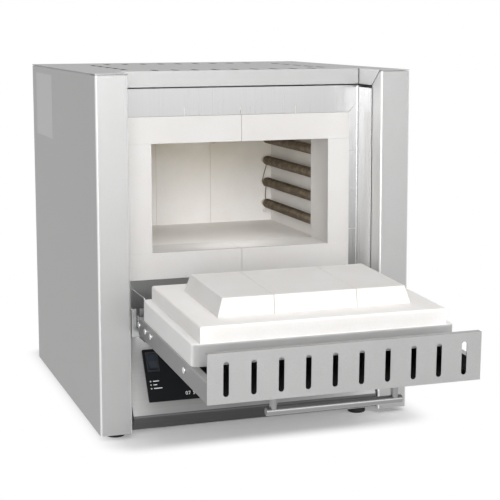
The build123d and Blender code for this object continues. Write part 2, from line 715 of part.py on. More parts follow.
def jog_dial():
    """The control knob and its shaft."""
    knob = Pos(0, 0, GLASS_THICKNESS + SEAT_GAP + DIAL_HEIGHT / 2) * Cylinder(DIAL_RADIUS, DIAL_HEIGHT)
    knob = fillet(knob.edges().filter_by(GeomType.CIRCLE).sort_by(Axis.Z)[-1], DIAL_ROUND)
    shaft_low = -SHEET - DIAL_SHAFT_REACH
    shaft_high = GLASS_THICKNESS + DIAL_HEIGHT / 2
    shaft = Pos(0, 0, (shaft_low + shaft_high) / 2) * Cylinder(
        DIAL_SHAFT_RADIUS, shaft_high - shaft_low
    )
    return PANEL * Pos(DIAL_X, 0, 0) * (knob + shaft)


def status_lights():
    """Three small round lights in the glass."""
    pieces = []
    length = GLASS_THICKNESS + SHEET + HOUSING_WALL
    for slope in LIGHT_SLOPES:
        light = Pos(LIGHT_X, slope, GLASS_THICKNESS - length / 2 + HOLE_PLAY) * Cylinder(
            LIGHT_RADIUS, length
        )
        pieces.append(PANEL * light)
    return group(pieces)


# Brickwork and insulation


def collar_top_bricks():
    """Two bricks over the mouth, each stepped behind the frame plate."""
    pieces = []
    for _, side in SIDES:
        brick = side_block(
            side, (BRICK_JOINT / 2, COLLAR_HALF), (COLLAR_FACE, COLLAR_BACK), (MOUTH_TOP, COLLAR_TOP)
        )
        brick += side_block(
            side, (BRICK_JOINT / 2, BRICK_HALF), (COLLAR_SHOULDER, COLLAR_BACK), (MOUTH_TOP, BRICK_TOP)
        )
        pieces.append(brick)
    return group(pieces)


def collar_bottom_bricks():
    """Two bricks under the mouth, each stepped behind the frame plate."""
    pieces = []
    for _, side in SIDES:
        brick = side_block(
            side, (BRICK_JOINT / 2, COLLAR_HALF), (COLLAR_FACE, COLLAR_BACK), (COLLAR_LOW, MOUTH_SILL_Z)
        )
        brick += side_block(
            side,
            (BRICK_JOINT / 2, BRICK_HALF),
            (COLLAR_SHOULDER, COLLAR_BACK),
            (BRICK_LOW, MOUTH_SILL_Z),
        )
        pieces.append(brick)
    return group(pieces)


def collar_side_bricks():
    """A brick each side of the mouth, with pockets for the support tubes."""
    pieces = []
    z = (MOUTH_SILL_Z, MOUTH_TOP)
    for _, side in SIDES:
        brick = side_block(side, (MOUTH_HALF, COLLAR_HALF), (COLLAR_FACE, COLLAR_BACK), z)
        brick += side_block(side, (MOUTH_HALF, BRICK_HALF), (COLLAR_SHOULDER, COLLAR_BACK), z)
        for level in TUBE_LEVELS:
            pocket = (COLLAR_BACK - TUBE_POCKET - SEAT_GAP, COLLAR_BACK + OVERCUT)
            brick -= rod_y(TUBE_RADIUS + SEAT_GAP, side * TUBE_X, pocket, level)
        pieces.append(brick)
    return group(pieces)


def side_brick(side):
    """A side wall of the chamber."""
    return side_block(side, (CHAMBER_HALF, BRICK_HALF), (COLLAR_BACK, BRICK_BACK), (BRICK_LOW, BRICK_TOP))


def roof_brick():
    """The chamber's roof."""
    x = (-CHAMBER_HALF, CHAMBER_HALF)
    return block(x, (COLLAR_BACK, BRICK_BACK), (CHAMBER_ROOF, BRICK_TOP))


def floor_brick():
    """The chamber's floor."""
    x = (-CHAMBER_HALF, CHAMBER_HALF)
    return block(x, (COLLAR_BACK, BRICK_BACK), (BRICK_LOW, CHAMBER_FLOOR))


def rear_bricks():
    """Three bricks that close the chamber's back."""
    joints = (-CHAMBER_HALF, -REAR_JOINT_X, REAR_JOINT_X, CHAMBER_HALF)
    through = (CHAMBER_BACK - OVERCUT, BRICK_BACK + OVERCUT)
    pieces = []
    for low, high in zip(joints, joints[1:]):
        limits = (low + BRICK_JOINT / 2, high - BRICK_JOINT / 2)
        brick = block(limits, (CHAMBER_BACK, BRICK_BACK), (CHAMBER_FLOOR, CHAMBER_ROOF))
        for _, side in SIDES:
            for level in TUBE_LEVELS:
                pocket = (through[0], CHAMBER_BACK + TUBE_POCKET + SEAT_GAP)
                brick -= rod_y(TUBE_RADIUS + SEAT_GAP, side * TUBE_X, pocket, level)
            for level in TERMINAL_LEVELS:
                brick -= rod_y(TERMINAL_RADIUS + SEAT_GAP, side * TUBE_X, through, level)
        brick -= rod_y(EXHAUST_RADIUS + SEAT_GAP, EXHAUST_X, through, EXHAUST_Z)
        brick -= rod_y(THERMOCOUPLE_RADIUS + SEAT_GAP, THERMOCOUPLE_X, through, EXHAUST_Z)
        pieces.append(brick)
    return group(pieces)


def backup_side_boards():
    """Insulating boards outside the side bricks."""
    z = (BRICK_LOW, BRICK_TOP)
    y = (COLLAR_SHOULDER, BRICK_BACK)
    return group([side_block(side, (BRICK_HALF, BOARD_HALF), y, z) for _, side in SIDES])


def backup_roof_board():
    """The insulating board over the bricks."""
    return block((-BOARD_HALF, BOARD_HALF), (COLLAR_SHOULDER, BRICK_BACK), (BRICK_TOP, BOARD_TOP))


def backup_floor_board():
    """The insulating board under the bricks."""
    return block((-BOARD_HALF, BOARD_HALF), (COLLAR_SHOULDER, BRICK_BACK), (BOARD_LOW, BRICK_LOW))


def rear_passages(piece):
    """A rear layer with holes for the terminals, the exhaust and the thermocouple."""
    through = (CHAMBER_BACK, REAR_COVER_Y)
    for _, side in SIDES:
        for level in TERMINAL_LEVELS:
            piece -= rod_y(TERMINAL_RADIUS + SEAT_GAP, side * TUBE_X, through, level)
    piece -= rod_y(EXHAUST_RADIUS + SEAT_GAP, EXHAUST_X, through, EXHAUST_Z)
    piece -= rod_y(THERMOCOUPLE_RADIUS + SEAT_GAP, THERMOCOUPLE_X, through, EXHAUST_Z)
    return piece


def backup_rear_board():
    """The insulating board behind the bricks."""
    board = block((-BOARD_HALF, BOARD_HALF), (BRICK_BACK, BOARD_BACK), (BOARD_LOW, BOARD_TOP))
    return rear_passages(board)


def inner_casing():
    """The sheet box round the insulation, open at the front."""
    half = BOARD_HALF + CASING_SHEET
    outer = block((-half, half), (COLLAR_SHOULDER, CASING_BACK), (CASING_LOW, BOARD_TOP + CASING_SHEET))
    inner = block((-BOARD_HALF, BOARD_HALF), (0, BOARD_BACK), (BOARD_LOW, BOARD_TOP))
    return rear_passages(outer - inner)


# Heating


def support_tubes(side):
    """Ceramic tubes that carry the heating coils."""
    y = (COLLAR_BACK - TUBE_POCKET, CHAMBER_BACK + TUBE_POCKET)
    return group([rod_y(TUBE_RADIUS, side * TUBE_X, y, z) for z in TUBE_LEVELS])


def heating_coils(side):
    """Wound heating wire, each coil as a sleeve round its tube."""
    y = (COLLAR_BACK + COIL_START_GAP, CHAMBER_BACK - COIL_END_GAP)
    bore = (y[0] - OVERCUT, y[1] + OVERCUT)
    pieces = []
    for z in TUBE_LEVELS:
        coil = rod_y(COIL_RADIUS, side * TUBE_X, y, z)
        coil = fillet(coil.edges().filter_by(GeomType.CIRCLE), COIL_ROUND)
        pieces.append(coil - rod_y(TUBE_RADIUS + SEAT_GAP, side * TUBE_X, bore, z))
    return group(pieces)


def element_terminals():
    """Rods that bring the current through the rear insulation."""
    y = (CHAMBER_BACK - TERMINAL_PROUD, CHAMBER_BACK - TERMINAL_PROUD + TERMINAL_LENGTH)
    return group(
        [rod_y(TERMINAL_RADIUS, side * TUBE_X, y, z) for _, side in SIDES for z in TERMINAL_LEVELS]
    )


def thermocouple():
    """The sheathed temperature probe with its round head behind the casing."""
    tip = CHAMBER_BACK - THERMOCOUPLE_REACH
    head = (CASING_BACK + SEAT_GAP, CASING_BACK + THERMOCOUPLE_HEAD_LENGTH)
    probe = rod_y(THERMOCOUPLE_RADIUS, THERMOCOUPLE_X, (tip, head[1]), EXHAUST_Z)
    return probe + rod_y(THERMOCOUPLE_HEAD_RADIUS, THERMOCOUPLE_X, head, EXHAUST_Z)


def exhaust_tube():
    """The ceramic pipe from the chamber's back to the rear stub."""
    y = (CHAMBER_BACK, BODY_DEPTH + STUB_LENGTH / 2)
    pipe = rod_y(EXHAUST_RADIUS, EXHAUST_X, y, EXHAUST_Z)
    bore = (y[0] - OVERCUT, y[1] + OVERCUT)
    return pipe - rod_y(EXHAUST_RADIUS - EXHAUST_WALL, EXHAUST_X, bore, EXHAUST_Z)


def exhaust_stub():
    """The steel sleeve and flange on the rear cover."""
    flange_y = (BODY_DEPTH, BODY_DEPTH + STUB_FLANGE)
    stub = rod_y(STUB_RADIUS, EXHAUST_X, (BODY_DEPTH, BODY_DEPTH + STUB_LENGTH), EXHAUST_Z)
    stub += rod_y(STUB_FLANGE_RADIUS, EXHAUST_X, flange_y, EXHAUST_Z)
    bore = (BODY_DEPTH - OVERCUT, BODY_DEPTH + STUB_LENGTH + OVERCUT)
    return stub - rod_y(STUB_RADIUS - EXHAUST_WALL, EXHAUST_X, bore, EXHAUST_Z)


# Lower compartment and rear fittings


def relay_heat_sink():
    """The finned block on the base pan."""
    wide, deep, high = SINK_SIZE
    floor_z = CASE_LOW + SHEET
    x = (RELAY_X - wide / 2, RELAY_X + wide / 2)
    y = (RELAY_Y - deep / 2, RELAY_Y + deep / 2)
    sink = block(x, y, (floor_z + high - SINK_BASE, floor_z + high))
    pitch = (wide - SINK_FIN) / (SINK_FINS - 1)
    for i in range(SINK_FINS):
        low = x[0] + i * pitch
        sink += block((low, low + SINK_FIN), y, (floor_z, floor_z + high - SINK_BASE + WELD))
    return sink


def solid_state_relay():
    """The switch for the heating current, on the heat sink."""
    wide, deep, high = RELAY_SIZE
    low = CASE_LOW + SHEET + SINK_SIZE[2]
    relay = block(
        (RELAY_X - wide / 2, RELAY_X + wide / 2),
        (RELAY_Y - deep / 2, RELAY_Y + deep / 2),
        (low, low + high),
    )
    return chamfer(relay.faces().sort_by(Axis.Z)[-1].edges(), SHEET)


def terminal_block():
    """The row of screw terminals for the mains lead."""
    wide, deep, high = BLOCK_SIZE
    low = CASE_LOW + SHEET
    left = BLOCK_X - wide / 2
    y = (BLOCK_Y - deep / 2, BLOCK_Y + deep / 2)
    rail = block((left, left + wide), y, (low, low + high))
    pitch = wide / BLOCK_POLES
    for i in range(BLOCK_POLES):
        x = left + (i + 0.5) * pitch
        rail -= rod_z(BLOCK_HOLE_RADIUS, x, BLOCK_Y, (low + high / 2, low + high + OVERCUT))
    return rail


def cable_gland():
    """The inlet for the mains lead, with its lock nut inside the rear cover."""
    outside = BODY_DEPTH + WELD
    nut = (REAR_COVER_Y - GLAND_NUT, REAR_COVER_Y)
    gland = rod_y(GLAND_HEX, GLAND_X, (BODY_DEPTH, BODY_DEPTH + GLAND_FLANGE), GLAND_Z)
    dome = rod_y(GLAND_DOME, GLAND_X, (outside, BODY_DEPTH + GLAND_REACH), GLAND_Z)
    dome = fillet(dome.edges().filter_by(GeomType.CIRCLE).sort_by(Axis.Y)[-1], GLAND_ROUND)
    gland += dome
    gland += rod_y(GLAND_THREAD, GLAND_X, (nut[0] - SHEET, outside), GLAND_Z)
    gland += rod_y(GLAND_HEX, GLAND_X, nut, GLAND_Z)
    bore = (nut[0] - SHEET - OVERCUT, BODY_DEPTH + GLAND_REACH + OVERCUT)
    return gland - rod_y(GLAND_BORE, GLAND_X, bore, GLAND_Z)


def cover_screws():
    """Button-head screws round the rear cover."""
    pieces = []
    for x, z in rear_screw_places():
        head = rod_y(SCREW_HEAD_RADIUS, x, (BODY_DEPTH, BODY_DEPTH + SCREW_HEAD), z)
        head = fillet(head.edges().filter_by(GeomType.CIRCLE).sort_by(Axis.Y)[-1], SCREW_HEAD / 2)
        pieces.append(head + rod_y(SCREW_RADIUS, x, (BODY_DEPTH - SCREW_LENGTH, BODY_DEPTH + WELD), z))
    return group(pieces)


def door_sensor():
    """The contact on the frame plate that tells when the door is shut."""
    wide, deep, high = SENSOR_SIZE
    top = TRAY_LOW - SENSOR_DROP
    x = (MAGNET_X - wide / 2, MAGNET_X + wide / 2)
    sensor = block(x, (RECESS_DEPTH - deep, RECESS_DEPTH), (top - high, top))
    return fillet(sensor.edges().filter_by(Axis.X), SHEET)


# Hinges


def hinge_bracket(side):
    """The folded bracket on the frame plate: two ears and a slotted front cheek."""
    outer_x = BRACKET_OUTER_X
    inner_x = BRACKET_INNER_X
    cheek_z = (HINGE_Z - CHEEK_LOW, HINGE_Z + CHEEK_TOP)
    front = (BRACKET_FRONT_Y, BRACKET_FRONT_Y + BRACKET_SHEET)
    low = HINGE_Z - BRACKET_EAR_LOW
    top = HINGE_Z + BRACKET_EAR_TOP
    outline = make_face(
        Polyline(
            (front[0], low),
            (RECESS_DEPTH, low),
            (RECESS_DEPTH, top),
            (front[0] + EAR_CHAMFER, top),
            (front[0], top - EAR_CHAMFER),
            close=True,
        )
    )
    ear = extrude(FACING_SIDE * outline, BRACKET_SHEET, dir=(1, 0, 0))
    ear_x = inner_x if side > 0 else -inner_x - BRACKET_SHEET
    bracket = Pos(ear_x, 0, 0) * ear
    bracket += side_block(side, (inner_x, outer_x), front, cheek_z)
    bracket += side_block(
        side, (outer_x - BRACKET_SHEET, outer_x), (front[0], front[0] + OUTER_EAR_DEPTH), cheek_z
    )
    slot_x = (ARM_OUTER_X - ARM_SHEET - ARM_SLOT_GAP, ARM_OUTER_X + ARM_SLOT_GAP)
    slot_low = HINGE_Z - ARM_WIDTH / 2 - ARM_SLOT_GAP
    bracket -= side_block(
        side, slot_x, (front[0] - OVERCUT, front[1] + OVERCUT), (slot_low, cheek_z[1] + OVERCUT)
    )
    return bracket - rod_x(PIN_RADIUS + FIT_GAP, (-HALF_WIDTH, HALF_WIDTH), HINGE_Y, HINGE_Z)


def hinge_pins():
    """The two pins the door turns on, headed on the inside."""
    pieces = []
    for _, side in SIDES:
        far = side * BRACKET_OUTER_X
        near = side * BRACKET_INNER_X
        head = side * (BRACKET_INNER_X - PIN_HEAD)
        pin = rod_x(PIN_RADIUS, sorted((near, far)), HINGE_Y, HINGE_Z)
        pieces.append(pin + rod_x(PIN_HEAD_RADIUS, sorted((head, near)), HINGE_Y, HINGE_Z))
    return group(pieces)


def door_arm(side):
    """The flat bar that carries the door on its pin."""
    radius = ARM_WIDTH / 2
    x = (ARM_OUTER_X - ARM_SHEET, ARM_OUTER_X)
    y = (HINGE_Y - radius, HINGE_Y + radius)
    arm = side_block(side, x, y, (HINGE_Z, HINGE_Z + ARM_TOP))
    ends = sorted((side * x[0], side * x[1]))
    arm += rod_x(radius, ends, HINGE_Y, HINGE_Z)
    arm -= rod_x(PIN_RADIUS + PIN_PLAY, (-HALF_WIDTH, HALF_WIDTH), HINGE_Y, HINGE_Z)
    for rise in ARM_BOLT_RISES:
        arm -= rod_x(BOLT_RADIUS + HOLE_PLAY, (-HALF_WIDTH, HALF_WIDTH), HINGE_Y, HINGE_Z + rise)
    return arm


# Door, made shut


def door_slots():
    """Cutters for the upright slots in the door's top flange."""
    middle = (SLOT_COUNT - 1) / 2
    cutters = []
    for i in range(SLOT_COUNT):
        slot = Rot(0, 0, 90) * extrude(
            SlotOverall(SLOT_LENGTH, SLOT_WIDTH), SHEET + 2 * OVERCUT
        )
        x = (i - middle) * SLOT_PITCH
        y = SLOT_START + SLOT_LENGTH / 2
        cutters.append(Pos(x, y, DOOR_TOP - SHEET - OVERCUT) * slot)
    return cutters


def door_outer_panel():
    """The outer sheet with hemmed sides, slotted top flange and lower tongue."""
    edge = DOOR_HALF - SHEET / 2
    hem_y = DOOR_SIDE_DEPTH - SHEET / 2
    section = folded_sheet(
        [
            (-DOOR_HALF + DOOR_HEM, hem_y),
            (-edge, hem_y),
            (-edge, SHEET / 2),
            (edge, SHEET / 2),
            (edge, hem_y),
            (DOOR_HALF - DOOR_HEM, hem_y),
        ],
        SHEET,
        BEND / 2,
    )
    panel = extruded_z(section, DOOR_SIDE_LOW, DOOR_TOP - SHEET)
    panel += block((-DOOR_HALF, DOOR_HALF), (0, DOOR_TOP_DEPTH), (DOOR_TOP - SHEET, DOOR_TOP))
    panel += block(
        (-DOOR_HALF, DOOR_HALF),
        (DOOR_TOP_DEPTH - SHEET, DOOR_TOP_DEPTH),
        (DOOR_TOP - DOOR_LIP, DOOR_TOP),
    )
    tongue_low = HINGE_Z - TONGUE_DROP
    tongue_x = (-TONGUE_HALF, TONGUE_HALF)
    panel += block(tongue_x, (0, SHEET), (tongue_low, DOOR_SIDE_LOW + SHEET))
    panel += block(tongue_x, (0, TONGUE_RETURN), (tongue_low, tongue_low + SHEET))
    for cutter in door_slots():
        panel -= cutter
    for rise in (*ARM_BOLT_RISES, FRONT_BOLT_RISE):
        panel -= rod_x(BOLT_RADIUS + HOLE_PLAY, (-HALF_WIDTH, HALF_WIDTH), HINGE_Y, HINGE_Z + rise)
    for _, side in SIDES:
        hole = (-OVERCUT, SHEET + OVERCUT)
        panel -= rod_y(BOLT_RADIUS + HOLE_PLAY, side * STANDOFF_X, hole, HANDLE_Z)
    return panel


def door_inner_tray():
    """The pale pan that holds the brick slab, with a rim turned in over its edge."""
    y = (DOOR_SIDE_DEPTH, TRAY_RIM_Y)
    outer = block((-TRAY_HALF, TRAY_HALF), y, (TRAY_LOW, TRAY_TOP))
    outer = fillet(outer.edges().filter_by(Axis.Y), TRAY_CORNER)
    rim = outer.faces().sort_by(Axis.Y)[-1].edges()
    outer = fillet(rim, BEND)
    inner_half = TRAY_HALF - SHEET
    inner = block(
        (-inner_half, inner_half),
        (y[0] + SHEET, y[1] - SHEET),
        (TRAY_LOW + SHEET, TRAY_TOP - SHEET),
    )
    inner = fillet(inner.edges().filter_by(Axis.Y), TRAY_CORNER - SHEET)
    rim_half = SLAB_HALF + SEAT_GAP
    opening = block(
        (-rim_half, rim_half), (y[1] - BEND, y[1] + BEND), (SLAB_LOW - SEAT_GAP, SLAB_TOP + SEAT_GAP)
    )
    return outer - inner - opening


def door_slab():
    """The flat brick slab in the tray."""
    slab = block(
        (-SLAB_HALF, SLAB_HALF), (DOOR_SIDE_DEPTH + SHEET, SLAB_FACE), (SLAB_LOW, SLAB_TOP)
    )
    return chamfer(slab.faces().sort_by(Axis.Y)[-1].edges(), SLAB_CHAMFER)


def door_plug():
    """The tapered plug that fills the mouth, as three bricks from left to right."""
    half = MOUTH_HALF - PLUG_GAP
    middle_z = MOUTH_SILL_Z + MOUTH_HEIGHT / 2
    tall = MOUTH_HEIGHT - 2 * PLUG_GAP
    base = Rectangle(2 * half, tall)
    top = Pos(0, 0, PLUG_HEIGHT) * Rectangle(2 * (half - PLUG_TAPER_X), tall - 2 * PLUG_TAPER_Z)
    plug = Pos(0, SLAB_FACE, middle_z) * Rot(-90, 0, 0) * loft([base, top])
    joints = (-HALF_WIDTH, -PLUG_JOINT_X, PLUG_JOINT_X, HALF_WIDTH)
    bricks = []
    for low, high in zip(joints, joints[1:]):
        limits = (low + BRICK_JOINT / 2, high - BRICK_JOINT / 2)
        bricks.append(plug & block(limits, (0, BODY_DEPTH), (0, TOP_Z)))
    return bricks


def handle_bar():
    """The round bar across the door's free edge."""
    half = HANDLE_LENGTH / 2
    bar = rod_x(HANDLE_DIAMETER / 2, (-half, half), -HANDLE_REACH, HANDLE_Z)
    return fillet(bar.edges().filter_by(GeomType.CIRCLE), HANDLE_ROUND)


def handle_standoffs():
    """Two round posts between the door and the bar, hollowed to the bar's curve."""
    seat = rod_x(HANDLE_DIAMETER / 2 + FIT_GAP, (-HALF_WIDTH, HALF_WIDTH), -HANDLE_REACH, HANDLE_Z)
    pieces = []
    for _, side in SIDES:
        x = side * STANDOFF_X
        post = rod_y(STANDOFF_DIAMETER / 2, x, (-HANDLE_REACH, 0), HANDLE_Z) - seat
        post -= rod_y(BOLT_RADIUS + HOLE_PLAY, x, (-STANDOFF_TAPPING, OVERCUT), HANDLE_Z)
        pieces.append(post.solids().sort_by(Axis.Y)[-1])
    return group(pieces)


def handle_screws():
    """Screws from inside the door into the standoffs."""
    pieces = []
    for _, side in SIDES:
        x = side * STANDOFF_X
        head = rod_y(BOLT_HEAD_RADIUS, x, (SHEET, SHEET + BOLT_HEAD), HANDLE_Z)
        head = fillet(head.edges().filter_by(GeomType.CIRCLE).sort_by(Axis.Y)[-1], BOLT_HEAD / 2)
        shank = (OVERCUT - STANDOFF_TAPPING, SHEET + WELD)
        pieces.append(head + rod_y(BOLT_RADIUS, x, shank, HANDLE_Z))
    return group(pieces)


def door_bolts():
    """Bolts through the side flanges and arms, each with its nut inside."""
    pieces = []
    for _, side in SIDES:
        for rise in (*ARM_BOLT_RISES, FRONT_BOLT_RISE):
            z = HINGE_Z + rise
            packing = ARM_SHEET if rise in ARM_BOLT_RISES else 0
            nut = DOOR_HALF - SHEET - packing
            tip = nut - BOLT_TIP
            shank_x = sorted((side * tip, side * (DOOR_HALF + WELD)))
            shank = rod_x(BOLT_RADIUS, shank_x, HINGE_Y, z)
            head_x = sorted((side * DOOR_HALF, side * (DOOR_HALF + BOLT_HEAD)))
            head = rod_x(BOLT_HEAD_RADIUS, head_x, HINGE_Y, z)
            outer = head.edges().filter_by(GeomType.CIRCLE).sort_by(Axis.X)[-1 if side > 0 else 0]
            head = fillet(outer, BOLT_HEAD / 2)
            nut_x = sorted((side * (nut - BOLT_HEAD), side * nut))
            pieces.append(shank + head + rod_x(BOLT_HEAD_RADIUS, nut_x, HINGE_Y, z))
    return group(pieces)


def door_magnet():
    """The magnet under the tray that works the door sensor."""
    wide, deep, high = MAGNET_SIZE
    x = (MAGNET_X - wide / 2, MAGNET_X + wide / 2)
    back = RECESS_DEPTH - SENSOR_SIZE[1] - MAGNET_SENSOR_GAP
    return block(x, (back - deep, back), (TRAY_LOW - high, TRAY_LOW))


def fixed_pieces():
    """Every piece that stays still, or moves only in the controller."""
    pieces = {
        "top_cover": top_cover(),
        "rear_cover": rear_cover(),
        "base_pan": base_pan(),
        "chassis_shelf": chassis_shelf(),
        "feet": feet(),
        "front_frame_plate": front_frame_plate(),
        "controller_panel": controller_panel(),
        "controller_glass": controller_glass(),
        "controller_housing": controller_housing(),
        "rocker_bezel": rocker_bezel(),
        "rocker_switch": rocker_switch(),
        "jog_dial": jog_dial(),
        "status_lights": status_lights(),
        "collar_top_bricks": collar_top_bricks(),
        "collar_bottom_bricks": collar_bottom_bricks(),
        "collar_side_bricks": collar_side_bricks(),
        "roof_brick": roof_brick(),
        "floor_brick": floor_brick(),
        "rear_bricks": rear_bricks(),
        "backup_side_boards": backup_side_boards(),
        "backup_roof_board": backup_roof_board(),
        "backup_floor_board": backup_floor_board(),
        "backup_rear_board": backup_rear_board(),
        "inner_casing": inner_casing(),
        "element_terminals": element_terminals(),
        "thermocouple": thermocouple(),
        "exhaust_tube": exhaust_tube(),
        "exhaust_stub": exhaust_stub(),
        "relay_heat_sink": relay_heat_sink(),
        "solid_state_relay": solid_state_relay(),
        "terminal_block": terminal_block(),
        "cable_gland": cable_gland(),
        "cover_screws": cover_screws(),
        "door_sensor": door_sensor(),
        "hinge_pins": hinge_pins(),
    }
    for name, side in SIDES:
        pieces[f"side_panel_{name}"] = side_panel(side)
        pieces[f"side_brick_{name}"] = side_brick(side)
        pieces[f"support_tubes_{name}"] = support_tubes(side)
        pieces[f"heating_coils_{name}"] = heating_coils(side)
        pieces[f"hinge_bracket_{name}"] = hinge_bracket(side)
    return pieces


def door_pieces():
    """Every piece that swings with the door, made shut."""
    left, middle, right = door_plug()
    pieces = {
        "door_outer_panel": door_outer_panel(),
        "door_inner_tray": door_inner_tray(),
        "door_slab": door_slab(),
        "door_plug_left": left,
        "door_plug_middle": middle,
        "door_plug_right": right,
        "handle_bar": handle_bar(),
        "handle_standoffs": handle_standoffs(),
        "handle_screws": handle_screws(),
        "door_bolts": door_bolts(),
        "door_magnet": door_magnet(),
    }
    for name, side in SIDES:
        pieces[f"door_arm_{name}"] = door_arm(side)
    return pieces


def main():
    """Make every piece, open the door, centre the whole and write the files."""
    pieces = fixed_pieces()
    for name, piece in door_pieces().items():
        pieces[name] = SWING_OPEN * piece
    boxes = [piece.bounding_box() for piece in pieces.values()]
    front = min(box.min.Y for box in boxes)
    rear = max(box.max.Y for box in boxes)
    shift = -(front + rear) / 2
    os.makedirs("parts", exist_ok=True)
    for name, piece in pieces.items():
        export_step(Pos(0, shift, 0) * piece, f"parts/{name}.step")
    print("moved along Y by", round(shift, 4))
    print("front", round(front + shift, 3), "rear", round(rear + shift, 3), "pieces", len(pieces))


main()
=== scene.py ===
"""Looks of a bench-top muffle furnace with a brick-lined chamber and its flap door open.

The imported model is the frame. Its sheet-metal nodes keep their meshes and get finishes
here. Bricks, heating coils and knob are made here and stand for their nodes, and the
recess bends, coil links, light marks and figures are added. Everything is in metres,
with Z up and the door opening towards -Y.
"""

import logging
import math
from abc import ABC, abstractmethod
from dataclasses import dataclass, field
from enum import Enum
from typing import Iterable, Sequence

import bmesh
import bpy
import numpy as np
from mathutils import Matrix, Vector


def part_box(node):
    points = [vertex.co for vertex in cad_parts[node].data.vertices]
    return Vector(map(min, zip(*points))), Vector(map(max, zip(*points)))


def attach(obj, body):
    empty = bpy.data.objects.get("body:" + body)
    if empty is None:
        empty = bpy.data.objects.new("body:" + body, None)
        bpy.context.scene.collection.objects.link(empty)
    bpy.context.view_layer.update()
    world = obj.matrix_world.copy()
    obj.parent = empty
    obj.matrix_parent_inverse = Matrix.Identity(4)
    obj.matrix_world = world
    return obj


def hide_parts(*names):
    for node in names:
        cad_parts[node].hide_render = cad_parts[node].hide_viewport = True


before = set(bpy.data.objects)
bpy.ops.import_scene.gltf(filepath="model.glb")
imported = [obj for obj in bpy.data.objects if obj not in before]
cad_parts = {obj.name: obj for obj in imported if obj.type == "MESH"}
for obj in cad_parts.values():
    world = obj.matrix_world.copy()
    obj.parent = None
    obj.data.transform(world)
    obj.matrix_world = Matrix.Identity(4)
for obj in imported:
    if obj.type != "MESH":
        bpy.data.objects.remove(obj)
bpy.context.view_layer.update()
MM = 0.001
LOG = logging.getLogger("furnace")

# a direction's share above which a face counts as square to that axis
SQUARE_ON = 0.6
# the grey of painted highlights on bends and beside seams
PAINTED_HIGHLIGHT = 0.97
WHITE = (1.0, 1.0, 1.0, 1.0)
HAIR = 0.1 * MM

Colour = tuple[float, float, float]
Place = tuple[float, float, float]


class Side(Enum):
    """The two sides of the furnace, each with the sign of its X."""

    LEFT = -1
    RIGHT = 1

    @property
    def word(self) -> str:
        """The side's name as it stands in node names."""
        return self.name.lower()


class Body(Enum):
    """The bodies that a piece can ride on."""

    CASING = "casing"
    DOOR = "door"
    DIAL = "dial"


class Value:
    """A shader socket that takes part in Python expressions."""

    def __init__(self, graph: "Graph", socket: bpy.types.NodeSocket) -> None:
        """Keeps the socket and the graph that new nodes go to."""
        self.graph = graph
        self.socket = socket

    def maths(self, operation: str, *others: "Value | float") -> "Value":
        """A Math node on this value.

        Args:
            operation: the Math node's operation.
            others: its second and third operand.

        Returns:
            The node's result.
        """
        inputs = dict(enumerate((self, *others)))
        return self.graph.value("ShaderNodeMath", {"operation": operation}, inputs)

    def __add__(self, other: "Value | float") -> "Value":
        """self + other."""
        return self.maths("ADD", other)

    __radd__ = __add__

    def __sub__(self, other: "Value | float") -> "Value":
        """self - other."""
        return self.maths("SUBTRACT", other)

    def __rsub__(self, other: float) -> "Value":
        """other - self."""
        return (self * -1.0) + other

    def __mul__(self, other: "Value | float") -> "Value":
        """self * other."""
        return self.maths("MULTIPLY", other)

    __rmul__ = __mul__

    def __pow__(self, other: float) -> "Value":
        """self to a power."""
        return self.maths("POWER", other)

    def sin(self) -> "Value":
        """The sine of self in radians."""
        return self.maths("SINE")

    def size(self) -> "Value":
        """self without its sign."""
        return self.maths("ABSOLUTE")

    def above(self, other: float) -> "Value":
        """1 where self is above other, else 0."""
        return self.maths("GREATER_THAN", other)

    def ramp(self, low: float, high: float) -> "Value":
        """0 below low, 1 above high, and smooth between."""
        settings = {"interpolation_type": "SMOOTHSTEP"}
        return self.graph.value("ShaderNodeMapRange", settings, {0: self, 1: low, 2: high})


